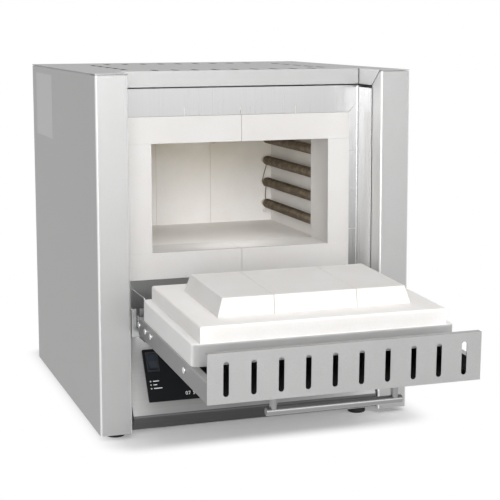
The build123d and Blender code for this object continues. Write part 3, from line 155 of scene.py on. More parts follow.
class Graph:
    """The nodes of one material."""

    def __init__(self, tree: bpy.types.NodeTree) -> None:
        """Empties the tree and keeps it."""
        tree.nodes.clear()
        self.tree = tree
        self._places: bpy.types.Node | None = None

    def node(self, kind: str, settings: dict | None = None, inputs: dict | None = None) -> bpy.types.Node:
        """A node with its settings made first and its sockets filled after.

        Args:
            kind: the node's type.
            settings: attributes of the node.
            inputs: a value, colour or link for each socket, by name or number.

        Returns:
            The node.
        """
        made = self.tree.nodes.new(kind)
        for name, setting in (settings or {}).items():
            setattr(made, name, setting)
        for key, given in (inputs or {}).items():
            if isinstance(given, Value):
                self.tree.links.new(given.socket, made.inputs[key])
            else:
                made.inputs[key].default_value = given
        return made

    def value(
        self, kind: str, settings: dict | None = None, inputs: dict | None = None, output: int | str = 0
    ) -> Value:
        """One output of a new node, ready for expressions."""
        return Value(self, self.node(kind, settings, inputs).outputs[output])

    def _coordinates(self) -> bpy.types.Node:
        """The one Texture Coordinate node of this material."""
        if self._places is None:
            self._places = self.node("ShaderNodeTexCoord")
        return self._places

    def place(self) -> Value:
        """The point's Object coordinates."""
        return Value(self, self._coordinates().outputs["Object"])

    def facing(self) -> Value:
        """The surface's direction in the object's own axes."""
        return Value(self, self._coordinates().outputs["Normal"])

    def axes(self, vector: Value) -> tuple[Value, Value, Value]:
        """The three numbers of a vector."""
        split = self.node("ShaderNodeSeparateXYZ", None, {0: vector})
        return tuple(Value(self, socket) for socket in split.outputs)

    def stretched(self, vector: Value, scale: Sequence[float]) -> Value:
        """A vector with each axis multiplied by its own number."""
        return self.value("ShaderNodeVectorMath", {"operation": "MULTIPLY"}, {0: vector, 1: scale})

    def noise(self, scale: float, detail: float = 3.0, at: Value | None = None) -> Value:
        """Cloudy noise from 0 to 1, with scale in cells per metre."""
        inputs = {"Vector": at or self.place(), "Scale": scale, "Detail": detail}
        return self.value("ShaderNodeTexNoise", None, inputs)

    def cells(self, scale: float) -> Value:
        """The distance to the nearest of many scattered points."""
        return self.value("ShaderNodeTexVoronoi", None, {"Vector": self.place(), "Scale": scale})

    def blend(self, factor: Value | float, low: "Value | Colour", high: "Value | Colour") -> Value:
        """A colour between two colours."""
        settings = {"data_type": "RGBA"}
        ends = [given if isinstance(given, Value) else (*given, 1.0) for given in (low, high)]
        return self.value("ShaderNodeMix", settings, {0: factor, 6: ends[0], 7: ends[1]}, 2)

    def tones(
        self, factor: Value, level: float, low: float, high: float, warmths: Sequence[float] = (0.0, 0.0)
    ) -> Value:
        """A grey between two shares of a level, each end with its own warmth."""
        return self.blend(factor, tone(level * low, warmths[0]), tone(level * high, warmths[1]))

    def bump(self, height: Value, depth: float, strength: float = 1.0) -> Value:
        """A normal from a height of 0 to 1 that is depth metres deep."""
        inputs = {"Height": height, "Distance": depth, "Strength": strength}
        return self.value("ShaderNodeBump", None, inputs)


class Finish(ABC):
    """A surface finish. One material is made of each and shared."""

    _made: dict["Finish", bpy.types.Material] = {}

    @abstractmethod
    def surface(self, graph: Graph) -> dict:
        """The Principled shader's sockets, by name."""

    def material(self) -> bpy.types.Material:
        """The finish's material, made at its first use."""
        if self not in Finish._made:
            made = bpy.data.materials.new(type(self).__name__)
            made.use_nodes = True
            graph = Graph(made.node_tree)
            shader = graph.node("ShaderNodeBsdfPrincipled", None, self.surface(graph))
            end = graph.node("ShaderNodeOutputMaterial")
            made.node_tree.links.new(shader.outputs[0], end.inputs[0])
            Finish._made[self] = made
        return Finish._made[self]


def tone(level: float, warmth: float = 0.0) -> Colour:
    """A near-grey colour, warmer for a positive warmth."""
    return (level * (1 + warmth), level, level * (1 - warmth))


@dataclass(frozen=True)
class LinenSteel(Finish):
    """Stainless sheet with a fine pressed linen pattern."""

    level: float = 0.45
    warmth: float = 0.004
    roughness: float = 0.40
    metal: float = 0.80
    edge_tint: float = 0.75
    pitch: float = 2.0 * MM
    depth: float = 0.10 * MM
    weave_share: float = 0.18
    bend_highlight_share: float = 0.6

    def surface(self, graph: Graph) -> dict:
        """Crossed waves on each plane, picked by the surface's direction, and a painted highlight on the
        bends.
        """
        x, y, z = graph.axes(graph.place())
        facing = [axis.size().above(SQUARE_ON) for axis in graph.axes(graph.facing())]
        turn = 2 * math.pi / self.pitch
        pairs = ((y, z), (x, z), (x, y))
        weave = None
        for (first, second), picked in zip(pairs, facing):
            waves = ((first + second) * turn).sin() * ((first - second) * turn).sin() * picked
            weave = waves if weave is None else weave + waves
        pressed = weave * 0.5 + 0.5
        clouds = graph.noise(9.0, 2.0)
        cloudy = graph.tones(clouds, self.level, 0.96, 1.04, (self.warmth, self.warmth))
        grain = graph.noise(520.0, 2.0) * 0.5 + pressed * 0.5
        sheet = graph.blend(grain * self.weave_share, cloudy, tone(self.level * 0.35))
        across, along, _ = graph.axes(graph.facing())
        # painted highlight: faces turned between two axes, as on a bend, are lightened towards near white
        bend = (across * along).size().ramp(0.12, 0.4)
        return {
            "Base Color": graph.blend(bend * self.bend_highlight_share, sheet, tone(PAINTED_HIGHLIGHT)),
            "Metallic": self.metal,
            "Specular Tint": (*tone(self.edge_tint), 1.0),
            "Roughness": clouds * 0.06 + (self.roughness - 0.03),
            "Normal": graph.bump(pressed, self.depth),
        }


@dataclass(frozen=True)
class PanelLinen(LinenSteel):
    """Linen steel of a side panel, with a painted reflection that lightens the post's return inside the
    recess.
    """

    return_reflection_level: float = 0.97
    return_reflection_share: float = 0.95
    return_from: float = 0.1

    def surface(self, graph: Graph) -> dict:
        """The linen finish with a painted reflection, lifted where it faces the middle of the furnace."""
        sockets = super().surface(graph)
        x = graph.axes(graph.place())[0]
        across = graph.axes(graph.facing())[0]
        inward = 1.0 - (across * x).above(-self.return_from)
        share = inward * self.return_reflection_share
        # painted reflection: faces turned towards the middle are lightened to a pale grey
        sockets["Base Color"] = graph.blend(share, sockets["Base Color"], tone(self.return_reflection_level))
        return sockets


@dataclass(frozen=True)
class VentedLinen(PanelLinen):
    """Linen steel of the lid, with painted shade on the walls of its vent slots and in a seam beside each
    flap, and a painted highlight along the seam.
    """

    roughness: float = 0.46
    half_x: float = 0.20
    low_y: float = -0.012
    high_y: float = 0.42
    flap_x: float = 0.2118
    fascia_y: float = -0.01435
    seam: float = 1.4 * MM
    seam_shade_and_highlight_share: float = 0.9
    slot_shade_level: float = 0.03
    seam_shade_level: float = 0.04

    def surface(self, graph: Graph) -> dict:
        """The linen finish, with painted shade on upright faces inside the ring of slots and at the
        seams, and a painted highlight just in front of the fascia.
        """
        sockets = super().surface(graph)
        x, y, _ = graph.axes(graph.place())
        upright = 1.0 - graph.axes(graph.facing())[2].size().above(SQUARE_ON)
        inside = (1.0 - x.size().above(self.half_x)) * y.above(self.low_y) * (1.0 - y.above(self.high_y))
        # painted shade: upright faces inside the ring of slots, the slot walls, are made near black
        slot_shaded = graph.blend(upright * inside, sockets["Base Color"], tone(self.slot_shade_level))
        # painted shade in the seam where the fascia meets each flap
        fascia = 1.0 - (y - self.fascia_y).size().above(HAIR)
        near_flap = 1.0 - (x.size() - self.flap_x).size().above(self.seam)
        dark = fascia * near_flap * upright * self.seam_shade_and_highlight_share
        seam_shaded = graph.blend(dark, slot_shaded, tone(self.seam_shade_level))
        # painted highlight on upright faces in a narrow band just in front of the fascia
        lit = y.above(self.fascia_y - self.seam) * (1.0 - y.above(self.fascia_y - HAIR)) * upright
        sockets["Base Color"] = graph.blend(lit * self.seam_shade_and_highlight_share, seam_shaded, tone(PAINTED_HIGHLIGHT))
        return sockets


@dataclass(frozen=True)
class DoorLinen(LinenSteel):
    """Linen steel of the open door, with painted shade on the inside, which the slots show, and on the
    side flanges.
    """

    level: float = 0.50
    metal: float = 0.95
    weave_share: float = 0.42
    inside_top: float = 0.176
    inside_shade_level: float = 0.035
    painted_flange_level: float = 0.28
    painted_flange_share: float = 0.75

    def surface(self, graph: Graph) -> dict:
        """The linen finish, with painted shade where it faces the slab or the back, and on the side
        flanges.
        """
        sockets = super().surface(graph)
        across, back, up = graph.axes(graph.facing())
        height = graph.axes(graph.place())[2]
        # painted shade: faces up under the slab and faces towards the back are made near black
        under_slab = up.above(SQUARE_ON) * (1.0 - height.above(self.inside_top))
        inside = (under_slab + back.above(SQUARE_ON)).maths("MINIMUM", 1.0)
        # painted shade on the side flanges
        flange = across.size().above(SQUARE_ON) * self.painted_flange_share
        flange_shaded = graph.blend(flange, sockets["Base Color"], tone(self.painted_flange_level))
        sockets["Base Color"] = graph.blend(inside, flange_shaded, tone(self.inside_shade_level))
        return sockets


@dataclass(frozen=True)
class LabelledLinen(PanelLinen):
    """Linen steel with one bare, pale label on its left face."""

    outer_x: float = -0.26
    label_middle: tuple[float, float] = (0.335, 0.509)
    label_half: tuple[float, float] = (0.077, 0.057)
    label_level: float = 0.56
    label_share: float = 0.8

    def surface(self, graph: Graph) -> dict:
        """The linen finish under a rectangle of paper, matt and without pattern."""
        sockets = super().surface(graph)
        x, y, z = graph.axes(graph.place())
        inside = 1.0 - x.above(self.outer_x)
        for axis, middle, half in zip((y, z), self.label_middle, self.label_half):
            inside = inside * (1.0 - (axis - middle).size().above(half))
        paper = graph.tones(graph.noise(600.0), self.label_level, 0.96, 1.04)
        sockets["Base Color"] = graph.blend(inside * self.label_share, sockets["Base Color"], paper)
        sockets["Roughness"] = sockets["Roughness"] + inside * 0.1
        return sockets


@dataclass(frozen=True)
class SlopeSteel(LinenSteel):
    """Linen steel of the slanted panel, with horizontal brushing and painted shade on the kick strip."""

    level: float = 0.52
    fold_height: float = 0.034
    kick_shade_level: float = 0.14

    def surface(self, graph: Graph) -> dict:
        """The linen finish, streaked along X, with painted shade below the fold."""
        sockets = super().surface(graph)
        streaks = graph.noise(1.0, 4.0, graph.stretched(graph.place(), (7.0, 500.0, 500.0)))
        streaked = graph.blend(streaks * 0.35, sockets["Base Color"], tone(self.level * 0.55))
        height = graph.axes(graph.place())[2]
        # painted shade: below the fold, on the kick strip, the steel is made dark
        low = 1.0 - height.ramp(self.fold_height, self.fold_height + 1 * MM)
        kick = graph.tones(streaks, self.kick_shade_level, 0.8, 1.2)
        sockets["Base Color"] = graph.blend(low, streaked, kick)
        sockets["Roughness"] = sockets["Roughness"] + low * 0.15
        return sockets


@dataclass(frozen=True)
class BrushedSteel(Finish):
    """Stainless with fine straight brushing along one axis."""

    level: float = 0.60
    roughness: float = 0.24
    metal: float = 1.0
    along: tuple[float, float, float] = (6.0, 900.0, 900.0)
    depth: float = 0.01 * MM

    def surface(self, graph: Graph) -> dict:
        """Noise drawn out along the brushing, in the bump, the gloss and a little in the colour."""
        scratches = graph.noise(1.0, 4.0, graph.stretched(graph.place(), self.along))
        return {
            "Base Color": graph.tones(scratches, self.level, 0.93, 1.07),
            "Metallic": self.metal,
            "Roughness": scratches * 0.14 + (self.roughness - 0.07),
            "Normal": graph.bump(scratches, self.depth),
        }


@dataclass(frozen=True)
class FramePlate(BrushedSteel):
    """Brushed steel of the plate round the collar, with a painted reflection lightening its side flanges.
    """

    painted_flange_level: float = 0.97
    painted_flange_share: float = 0.95

    def surface(self, graph: Graph) -> dict:
        """The brushed finish with a painted reflection, lifted where it faces sideways."""
        sockets = super().surface(graph)
        # painted reflection: faces turned sideways are lightened to near white
        flange = graph.axes(graph.facing())[0].size().above(SQUARE_ON) * self.painted_flange_share
        sockets["Base Color"] = graph.blend(flange, sockets["Base Color"], tone(self.painted_flange_level))
        return sockets


@dataclass(frozen=True)
class ZincSheet(Finish):
    """Satin zinc plate with faint blotches."""

    level: float = 0.50
    roughness: float = 0.38

    def surface(self, graph: Graph) -> dict:
        """Blotches from cells that are bent by noise."""
        blotches = graph.cells(110.0) * 0.5 + graph.noise(40.0) * 0.5
        return {
            "Base Color": graph.tones(blotches, self.level, 0.88, 1.1, (-0.01, 0.0)),
            "Metallic": 1.0,
            "Roughness": blotches * 0.16 + (self.roughness - 0.08),
            "Normal": graph.bump(graph.noise(500.0, 2.0), 0.01 * MM),
        }


@dataclass(frozen=True)
class PaleTray(Finish):
    """The pale, satin pan of the door, with painted shade greying its front edge."""

    level: float = 0.90
    front_shade_level: float = 0.42
    roughness: float = 0.48

    def surface(self, graph: Graph) -> dict:
        """Faint clouds, a very fine grain and painted shade on the faces turned to the front."""
        clouds = graph.noise(14.0, 3.0)
        pale = graph.tones(clouds, self.level, 0.97, 1.03, (0.006, 0.006))
        # painted shade: faces turned to the front are greyed
        front = (graph.axes(graph.facing())[1] * -1.0).ramp(0.25, 0.9)
        return {
            "Base Color": graph.blend(front, pale, tone(self.front_shade_level, 0.006)),
            "Roughness": clouds * 0.08 + (self.roughness - 0.04),
            "Normal": graph.bump(graph.noise(900.0, 2.0), 0.015 * MM),
        }


@dataclass(frozen=True)
class LightBrick(Finish):
    """Light insulating brick: matt off-white, with small pores, clouds and a darker, warmer tint towards
    the top.
    """

    level: float = 0.84
    warmth: float = 0.018
    stain: Colour = (0.60, 0.55, 0.42)
    tint_from: float = 10.0
    tint_full: float = 11.0
    tint_share: float = 0.0

    def surface(self, graph: Graph) -> dict:
        """Pores where cells are small, clouds over them, and a darker, warmer tint that grows with
        height.
        """
        clouds = graph.noise(16.0, 4.0)
        speckle = graph.noise(420.0, 3.0)
        pores = graph.cells(330.0).ramp(0.10, 0.22)
        some = graph.noise(60.0, 2.0).ramp(0.52, 0.62)
        pitted = 1.0 - (1.0 - pores) * some
        warmths = (self.warmth * 1.5, self.warmth)
        plain = graph.tones(clouds.ramp(0.3, 0.7), self.level, 0.965, 1.0, warmths)
        grain = speckle.ramp(0.35, 0.75) * 0.12
        grained = graph.blend(grain, plain, tone(self.level * 0.8, self.warmth * 2))
        colour = graph.blend((1.0 - pitted) * 0.35, grained, tone(self.level * 0.62, self.warmth * 3))
        if self.tint_share:
            height = graph.axes(graph.place())[2]
            rise = height.ramp(self.tint_from, self.tint_full)
            uneven = graph.noise(11.0, 3.0).ramp(0.25, 0.75) * 0.5 + 0.5
            colour = graph.blend(rise * uneven * self.tint_share, colour, self.stain)
        relief = pitted * 0.6 + speckle * 0.4
        return {
            "Base Color": colour,
            "Roughness": speckle * 0.1 + 0.85,
            "Specular IOR Level": 0.25,
            "Normal": graph.bump(relief, 0.35 * MM, 0.7),
        }


@dataclass(frozen=True)
class FibreBoard(Finish):
    """Cream insulating board with layered fibres."""

    level: float = 0.74

    def surface(self, graph: Graph) -> dict:
        """Noise drawn out along X and Y, so that the layers lie level."""
        layers = graph.noise(1.0, 4.0, graph.stretched(graph.place(), (60.0, 60.0, 700.0)))
        return {
            "Base Color": graph.tones(layers, self.level, 0.85, 1.05, (0.06, 0.04)),
            "Roughness": layers * 0.1 + 0.85,
            "Normal": graph.bump(layers, 0.3 * MM),
        }


@dataclass(frozen=True)
class TubeCeramic(Finish):
    """Smooth unglazed ceramic with a little soot."""

    level: float = 0.62
    warmth: float = 0.09

    def surface(self, graph: Graph) -> dict:
        """Clouds between clean and sooted."""
        soot = graph.noise(45.0, 3.0).ramp(0.4, 0.7)
        return {
            "Base Color": graph.tones(soot, self.level, 1.0, 0.6, (self.warmth, self.warmth * 1.6)),
            "Roughness": soot * 0.15 + 0.5,
            "Normal": graph.bump(graph.noise(700.0, 2.0), 0.02 * MM),
        }


@dataclass(frozen=True)
class HeatingWire(Finish):
    """Heating wire with its olive-brown oxide skin."""

    dark: Colour = (0.105, 0.080, 0.052)
    light: Colour = (0.185, 0.150, 0.105)

    def surface(self, graph: Graph) -> dict:
        """Patches of thicker and thinner oxide along the coil."""
        patches = graph.noise(70.0, 4.0).ramp(0.3, 0.72)
        return {
            "Base Color": graph.blend(patches, self.dark, self.light),
            "Metallic": 0.6,
            "Roughness": patches * -0.08 + 0.36,
            "Normal": graph.bump(graph.noise(1500.0, 2.0), 0.03 * MM),
        }


@dataclass(frozen=True)
class BlackFront(Finish):
    """The controller's gloss black front."""

    colour: Colour = (0.008, 0.009, 0.011)

    def surface(self, graph: Graph) -> dict:
        """Gloss with a trace of wipe marks."""
        wipes = graph.noise(1.0, 4.0, graph.stretched(graph.place(), (18.0, 70.0, 45.0)))
        return {
            "Base Color": graph.blend(wipes * 0.3, self.colour, (0.02, 0.021, 0.024)),
            "Roughness": wipes * 0.08 + 0.16,
            "Specular IOR Level": 0.22,
        }


@dataclass(frozen=True)
class Moulding(Finish):
    """Moulded plastic with a fine grain."""

    colour: Colour = (0.02, 0.02, 0.022)
    roughness: float = 0.45

    def surface(self, graph: Graph) -> dict:
        """Small cells as the mould's grain."""
        grain = graph.cells(1400.0)
        lighter = tuple(min(1.0, part * 1.7 + 0.004) for part in self.colour)
        return {
            "Base Color": graph.blend(graph.noise(30.0) * 0.5, self.colour, lighter),
            "Roughness": grain * 0.1 + (self.roughness - 0.03),
            "Normal": graph.bump(grain, 0.03 * MM),
        }


@dataclass(frozen=True)
class PlainPrint(Finish):
    """Pale print or a lit figure on the controller; on the print its glow is painted light."""

    colour: Colour = (0.82, 0.84, 0.86)
    glow: float = 0.0

    def surface(self, graph: Graph) -> dict:
        """Ink of slightly uneven cover."""
        cover = graph.noise(900.0, 2.0).ramp(0.2, 0.6)
        shade = tuple(part * 0.8 for part in self.colour)
        return {
            "Base Color": graph.blend(cover, shade, self.colour),
            "Roughness": cover * -0.1 + 0.5,
            "Emission Color": (*self.colour, 1.0),
            "Emission Strength": self.glow,
        }


LINEN = LinenSteel()
FRAME_STEEL = BrushedSteel(level=0.43, roughness=0.30, metal=0.8, along=(900.0, 900.0, 5.0))
FRAME_PLATE = FramePlate(level=0.40, roughness=0.30, metal=0.8, along=(900.0, 900.0, 5.0))
# steel much lighter than the plate's, a painted highlight on the recess's bends and hems
BEND_HIGHLIGHT_STEEL = BrushedSteel(level=0.74, roughness=0.22, metal=0.8, along=(900.0, 900.0, 5.0))
BAR_STEEL = BrushedSteel(level=0.30, roughness=0.30, along=(5.0, 900.0, 900.0))
SCREW_STEEL = BrushedSteel(level=0.66, roughness=0.22, along=(300.0, 300.0, 300.0))
ZINC = ZincSheet()
TRAY = PaleTray()
COLLAR_BRICK = LightBrick(level=0.66)
SLAB_BRICK = LightBrick(level=0.92)
PLUG_BRICK = LightBrick(level=0.80)
TUBE = TubeCeramic()
WIRE = HeatingWire()
GRIP_PLASTIC = Moulding()
RUBBER = Moulding(colour=(0.004, 0.004, 0.004), roughness=0.7)
ROCKER_PLASTIC = Moulding(colour=(0.016, 0.024, 0.038), roughness=0.3)
LENS = Moulding(colour=(0.55, 0.56, 0.52), roughness=0.2)
TERMINAL = BrushedSteel(level=0.80, roughness=0.5, metal=0.2, along=(400.0, 400.0, 400.0))
TURNED = BrushedSteel(level=0.55, roughness=0.3, along=(400.0, 400.0, 400.0))
# the glow stands for the lit clock figures, and on the printed marks beside the lights it is a painted
# glow
PRINT = PlainPrint(glow=0.25)


def dress(thing: bpy.types.Object, finish: Finish) -> None:
    """Puts a finish on every material slot of an object."""
    made = finish.material()
    if not thing.material_slots:
        thing.data.materials.append(made)
    for slot in thing.material_slots:
        slot.material = made


def dress_nodes(finish: Finish, *names: str) -> None:
    """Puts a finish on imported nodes, which keep their meshes."""
    for name in names:
        dress(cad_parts[name], finish)
        LOG.info("node %s: %s", name, type(finish).__name__)


def in_scene(name: str, data: bpy.types.ID) -> bpy.types.Object:
    """A new object at the origin that shows the given mesh, lamp, camera or curve."""
    made = bpy.data.objects.new(name, data)
    bpy.context.scene.collection.objects.link(made)
    return made


def add_piece(
    name: str,
    points: np.ndarray,
    faces: Iterable[Sequence[int]],
    smooth: bool = True,
) -> bpy.types.Object:
    """A mesh object at the origin.

    Args:
        name: the object's name.
        points: its corners in metres, one row each.
        faces: corner numbers of each face, turning left seen from outside.
        smooth: whether the faces are shaded smooth.

    Returns:
        The object.
    """
    mesh = bpy.data.meshes.new(name)
    mesh.from_pydata(np.asarray(points, float).reshape(-1, 3), [], [list(face) for face in faces])
    mesh.polygons.foreach_set("use_smooth", np.full(len(mesh.polygons), smooth))
    mesh.update()
    return in_scene(name, mesh)


def settle(piece: bpy.types.Object, body: Body, finish: Finish, slot: str, *nodes: str) -> None:
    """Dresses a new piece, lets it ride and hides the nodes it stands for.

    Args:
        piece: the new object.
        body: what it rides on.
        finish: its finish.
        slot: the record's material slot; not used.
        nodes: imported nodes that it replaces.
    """
    dress(piece, finish)
    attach(piece, body.value)
    if nodes:
        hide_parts(*nodes)
    LOG.info("piece %s: %d faces, %s", piece.name, len(piece.data.polygons), type(finish).__name__)


def ring_faces(rings: int, sides: int, offset: int = 0, closed_ends: bool = True) -> list[list[int]]:
    """Quads between rings of points, with a flat face over each end.

    Ring i, side j is point offset + i * sides + j, and side numbers wrap round.

    Args:
        rings: how many rings.
        sides: points in each ring.
        offset: the number of the first point.
        closed_ends: whether both ends get a face.

    Returns:
        The faces.
    """
    i, j = np.meshgrid(np.arange(rings - 1), np.arange(sides), indexing="ij")
    after = (j + 1) % sides
    quads = np.stack([i * sides + j, i * sides + after, (i + 1) * sides + after, (i + 1) * sides + j], -1)
    faces = (quads.reshape(-1, 4) + offset).tolist()
    if closed_ends:
        faces.append([offset + k for k in range(sides - 1, -1, -1)])
        faces.append([offset + (rings - 1) * sides + k for k in range(sides)])
    return faces


def swept(path: np.ndarray, out: np.ndarray, radius: float | np.ndarray, sides: int) -> np.ndarray:
    """Points of a round wire along a path.

    Each point is path + radius * (cos(a) * out + sin(a) * across), where across stands
    square to the path's direction and to out, and a runs once round the wire.

    Args:
        path: the middle line, one row a point.
        out: for each point a direction square to the path.
        radius: the wire's radius, one number or one for each point.
        sides: points round the wire.

    Returns:
        The points, ring by ring.
    """
    along = np.gradient(path, axis=0)
    along /= np.linalg.norm(along, axis=1, keepdims=True)
    out = out - (out * along).sum(1, keepdims=True) * along
    out /= np.linalg.norm(out, axis=1, keepdims=True)
    across = np.cross(along, out)
    angle = np.arange(sides) * 2 * np.pi / sides
    reach = np.broadcast_to(np.asarray(radius, float), len(path))[:, None, None]
    rings = np.cos(angle)[None, :, None] * out[:, None] + np.sin(angle)[None, :, None] * across[:, None]
    return (path[:, None] + reach * rings).reshape(-1, 3)


def smooth_path(corners: Sequence[Sequence[float]], steps: int) -> np.ndarray:
    """A soft line through given points: between two points it is a Catmull-Rom cubic.

    Args:
        corners: points that the line passes.
        steps: points on each stretch.

    Returns:
        The line's points.
    """
    given = np.asarray(corners, float)
    padded = np.vstack([2 * given[0] - given[1], given, 2 * given[-1] - given[-2]])
    t = np.linspace(0, 1, steps, endpoint=False)[:, None, None]
    a, b, c, d = (padded[k : len(padded) - 3 + k][None] for k in range(4))
    cubic = 0.5 * (
        2 * b + (c - a) * t + (2 * a - 5 * b + 4 * c - d) * t**2 + (3 * b - a - 3 * c + d) * t**3
    )
    line = cubic.transpose(1, 0, 2).reshape(-1, 3)
    return np.vstack([line, given[-1]])


def softened_copy(node: str, radius: float, segments: int = 3) -> bpy.types.Object:
    """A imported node's shape with its edges rounded off, as cast or sawn brick has them.

    Args:
        node: the node to copy.
        radius: the edges' radius in metres.
        segments: steps round each edge.

    Returns:
        The new object, with its rounding applied by modifiers.
    """
    mesh = bpy.data.meshes.new(node + "_soft")
    work = bmesh.new()
    work.from_mesh(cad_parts[node].data)
    bmesh.ops.remove_doubles(work, verts=work.verts, dist=0.001 * MM)
    flat = math.radians(0.5)
    bmesh.ops.dissolve_limit(work, angle_limit=flat, verts=work.verts, edges=work.edges)
    work.to_mesh(mesh)
    work.free()
    for name in ("custom_normal", "sharp_face", "sharp_edge"):
        if name in mesh.attributes:
            mesh.attributes.remove(mesh.attributes[name])
    mesh.shade_smooth()
    made = in_scene(node + "_soft", mesh)
    bevel = made.modifiers.new("round_edges", "BEVEL")
    bevel.width = radius
    bevel.segments = segments
    bevel.limit_method = "ANGLE"
    bevel.angle_limit = math.radians(25)
    bevel.use_clamp_overlap = True
    made.modifiers.new("even_shading", "WEIGHTED_NORMAL").keep_sharp = False
    return made


def seen_rays(graph: Graph, path: bpy.types.Node) -> Value:
    """1 for rays from the camera, off a mirror or through glass, else 0."""
    names = ("Camera", "Glossy", "Transmission")
    first, second, third = (Value(graph, path.outputs[f"Is {name} Ray"]) for name in names)
    return (first + second + third).above(0.5)


@dataclass(frozen=True)
class Lamp:
    """A square lamp that faces its aim."""

    name: str
    place: Place
    power: float
    size: float
    aim: Place = (0.0, -0.05, 0.3)

    def build(self) -> None:
        """Makes the lamp."""
        data = bpy.data.lights.new(self.name, "AREA")
        data.energy = self.power
        data.size = self.size
        ahead = Vector(self.aim) - Vector(self.place)
        turn = ahead.to_track_quat("-Z", "Y").to_matrix().to_4x4()
        in_scene(self.name, data).matrix_world = Matrix.Translation(self.place) @ turn


# the last one stands in the mouth, lights the chamber alone and shows only its unlit back
LAMPS = (
    Lamp("key_lamp", (-1.0, -3.1, 1.05), 49.0, 1.4),
    Lamp("fill_lamp", (0.95, -3.1, 1.0), 11.0, 1.3),
    Lamp("top_lamp", (0.1, -1.75, 2.1), 24.0, 1.6),
    Lamp("mouth_lamp", (0.0, -0.012, 0.37), 0.11, 0.12, (0.0, 0.30, 0.36)),
)


@dataclass
class Studio:
    """Camera, floor, sky and lamps."""

    camera_place: Place = (-0.7080, -2.1430, 0.6542)
    yaw: float = 18.77
    pitch: float = 7.39
    roll: float = -0.14
    lens: float = 97.4
    shift_up: float = -0.1
    floor_half: float = 30.0
    floor_colour: Colour = (0.84, 0.84, 0.84)
    floor_lift: float = 0.18
    shadow_middle: Place = (0.01, 0.19, 0.0)
    shadow_half: Place = (0.22, 0.31, 1.0)
    shadow_near: float = 0.015
    shadow_far: float = 0.075
    sky_light: float = 0.32

    def build(self) -> None:
        """Makes the camera first, then what stands round the object."""
        scene = bpy.context.scene
        scene.view_settings.view_transform = "Standard"
        self.camera()
        self.floor()
        self.sky()
        for lamp in LAMPS:
            lamp.build()
        LOG.info("studio ready")

    def camera(self) -> None:
        """The camera that sees the furnace as the photograph does."""
        data = bpy.data.cameras.new("camera")
        data.sensor_width = 36.0
        data.lens = self.lens
        data.shift_y = self.shift_up
        made = in_scene("camera", data)
        turn = (
            Matrix.Rotation(math.radians(-self.yaw), 4, "Z")
            @ Matrix.Rotation(math.radians(90 - self.pitch), 4, "X")
            @ Matrix.Rotation(math.radians(self.roll), 4, "Z")
        )
        made.matrix_world = Matrix.Translation(self.camera_place) @ turn
        bpy.context.scene.camera = made

    def floor(self) -> None:
        """A pale plane that keeps the shadow and turns into the white of the sky away from it."""
        half = self.floor_half
        corners = np.array([(-half, -half, 0), (half, -half, 0), (half, half, 0), (-half, half, 0)])
        plane = add_piece("floor", corners, [[0, 1, 2, 3]], smooth=False)
        made = bpy.data.materials.new("floor")
        made.use_nodes = True
        graph = Graph(made.node_tree)
        path = graph.node("ShaderNodeLightPath")
        shown = seen_rays(graph, path)
        matt = graph.value("ShaderNodeBsdfDiffuse", None, {0: (*self.floor_colour, 1.0)})
        lift = graph.value("ShaderNodeEmission", None, {0: WHITE, 1: shown * self.floor_lift})
        near = graph.value("ShaderNodeAddShader", None, {0: matt, 1: lift})
        white = graph.value("ShaderNodeEmission", None, {0: WHITE, 1: 1.0})
        beyond = [
            ((axis - middle).size() - half).maths("MAXIMUM", 0.0)
            for axis, middle, half in zip(graph.axes(graph.place()), self.shadow_middle, self.shadow_half)
        ]
        reach = (beyond[0] * beyond[0] + beyond[1] * beyond[1]) ** 0.5
        away = reach.ramp(self.shadow_near, self.shadow_far) * shown
        both = graph.value("ShaderNodeMixShader", None, {0: away, 1: near, 2: white})
        graph.node("ShaderNodeOutputMaterial", None, {0: both})
        plane.data.materials.append(made)

    def sky(self) -> None:
        """White for the camera and for reflections, plain soft light for the rest."""
        world = bpy.data.worlds.new("sky")
        bpy.context.scene.world = world
        world.use_nodes = True
        graph = Graph(world.node_tree)
        shown = seen_rays(graph, graph.node("ShaderNodeLightPath"))
        strength = shown * (1.0 - self.sky_light) + self.sky_light
        back = graph.value("ShaderNodeBackground", None, {0: WHITE, 1: strength})
        graph.node("ShaderNodeOutputWorld", None, {0: back})

@dataclass
class OuterCasing:
    """Side panels, lid, rear cover and what closes the body."""

    def build(self) -> None:
        """Dresses the sheets, the boards and the screws."""
        dress_nodes(PanelLinen(), "side_panel_right")
        dress_nodes(LINEN, "rear_cover")
        dress_nodes(LabelledLinen(), "side_panel_left")
        dress_nodes(VentedLinen(), "top_cover")
        dress_nodes(ZINC, "base_pan", "chassis_shelf", "inner_casing")
        dress_nodes(RUBBER, "feet")
        dress_nodes(SCREW_STEEL, "cover_screws")
        boards = ("side_boards", "roof_board", "floor_board", "rear_board")
        dress_nodes(FibreBoard(), *(f"backup_{name}" for name in boards))


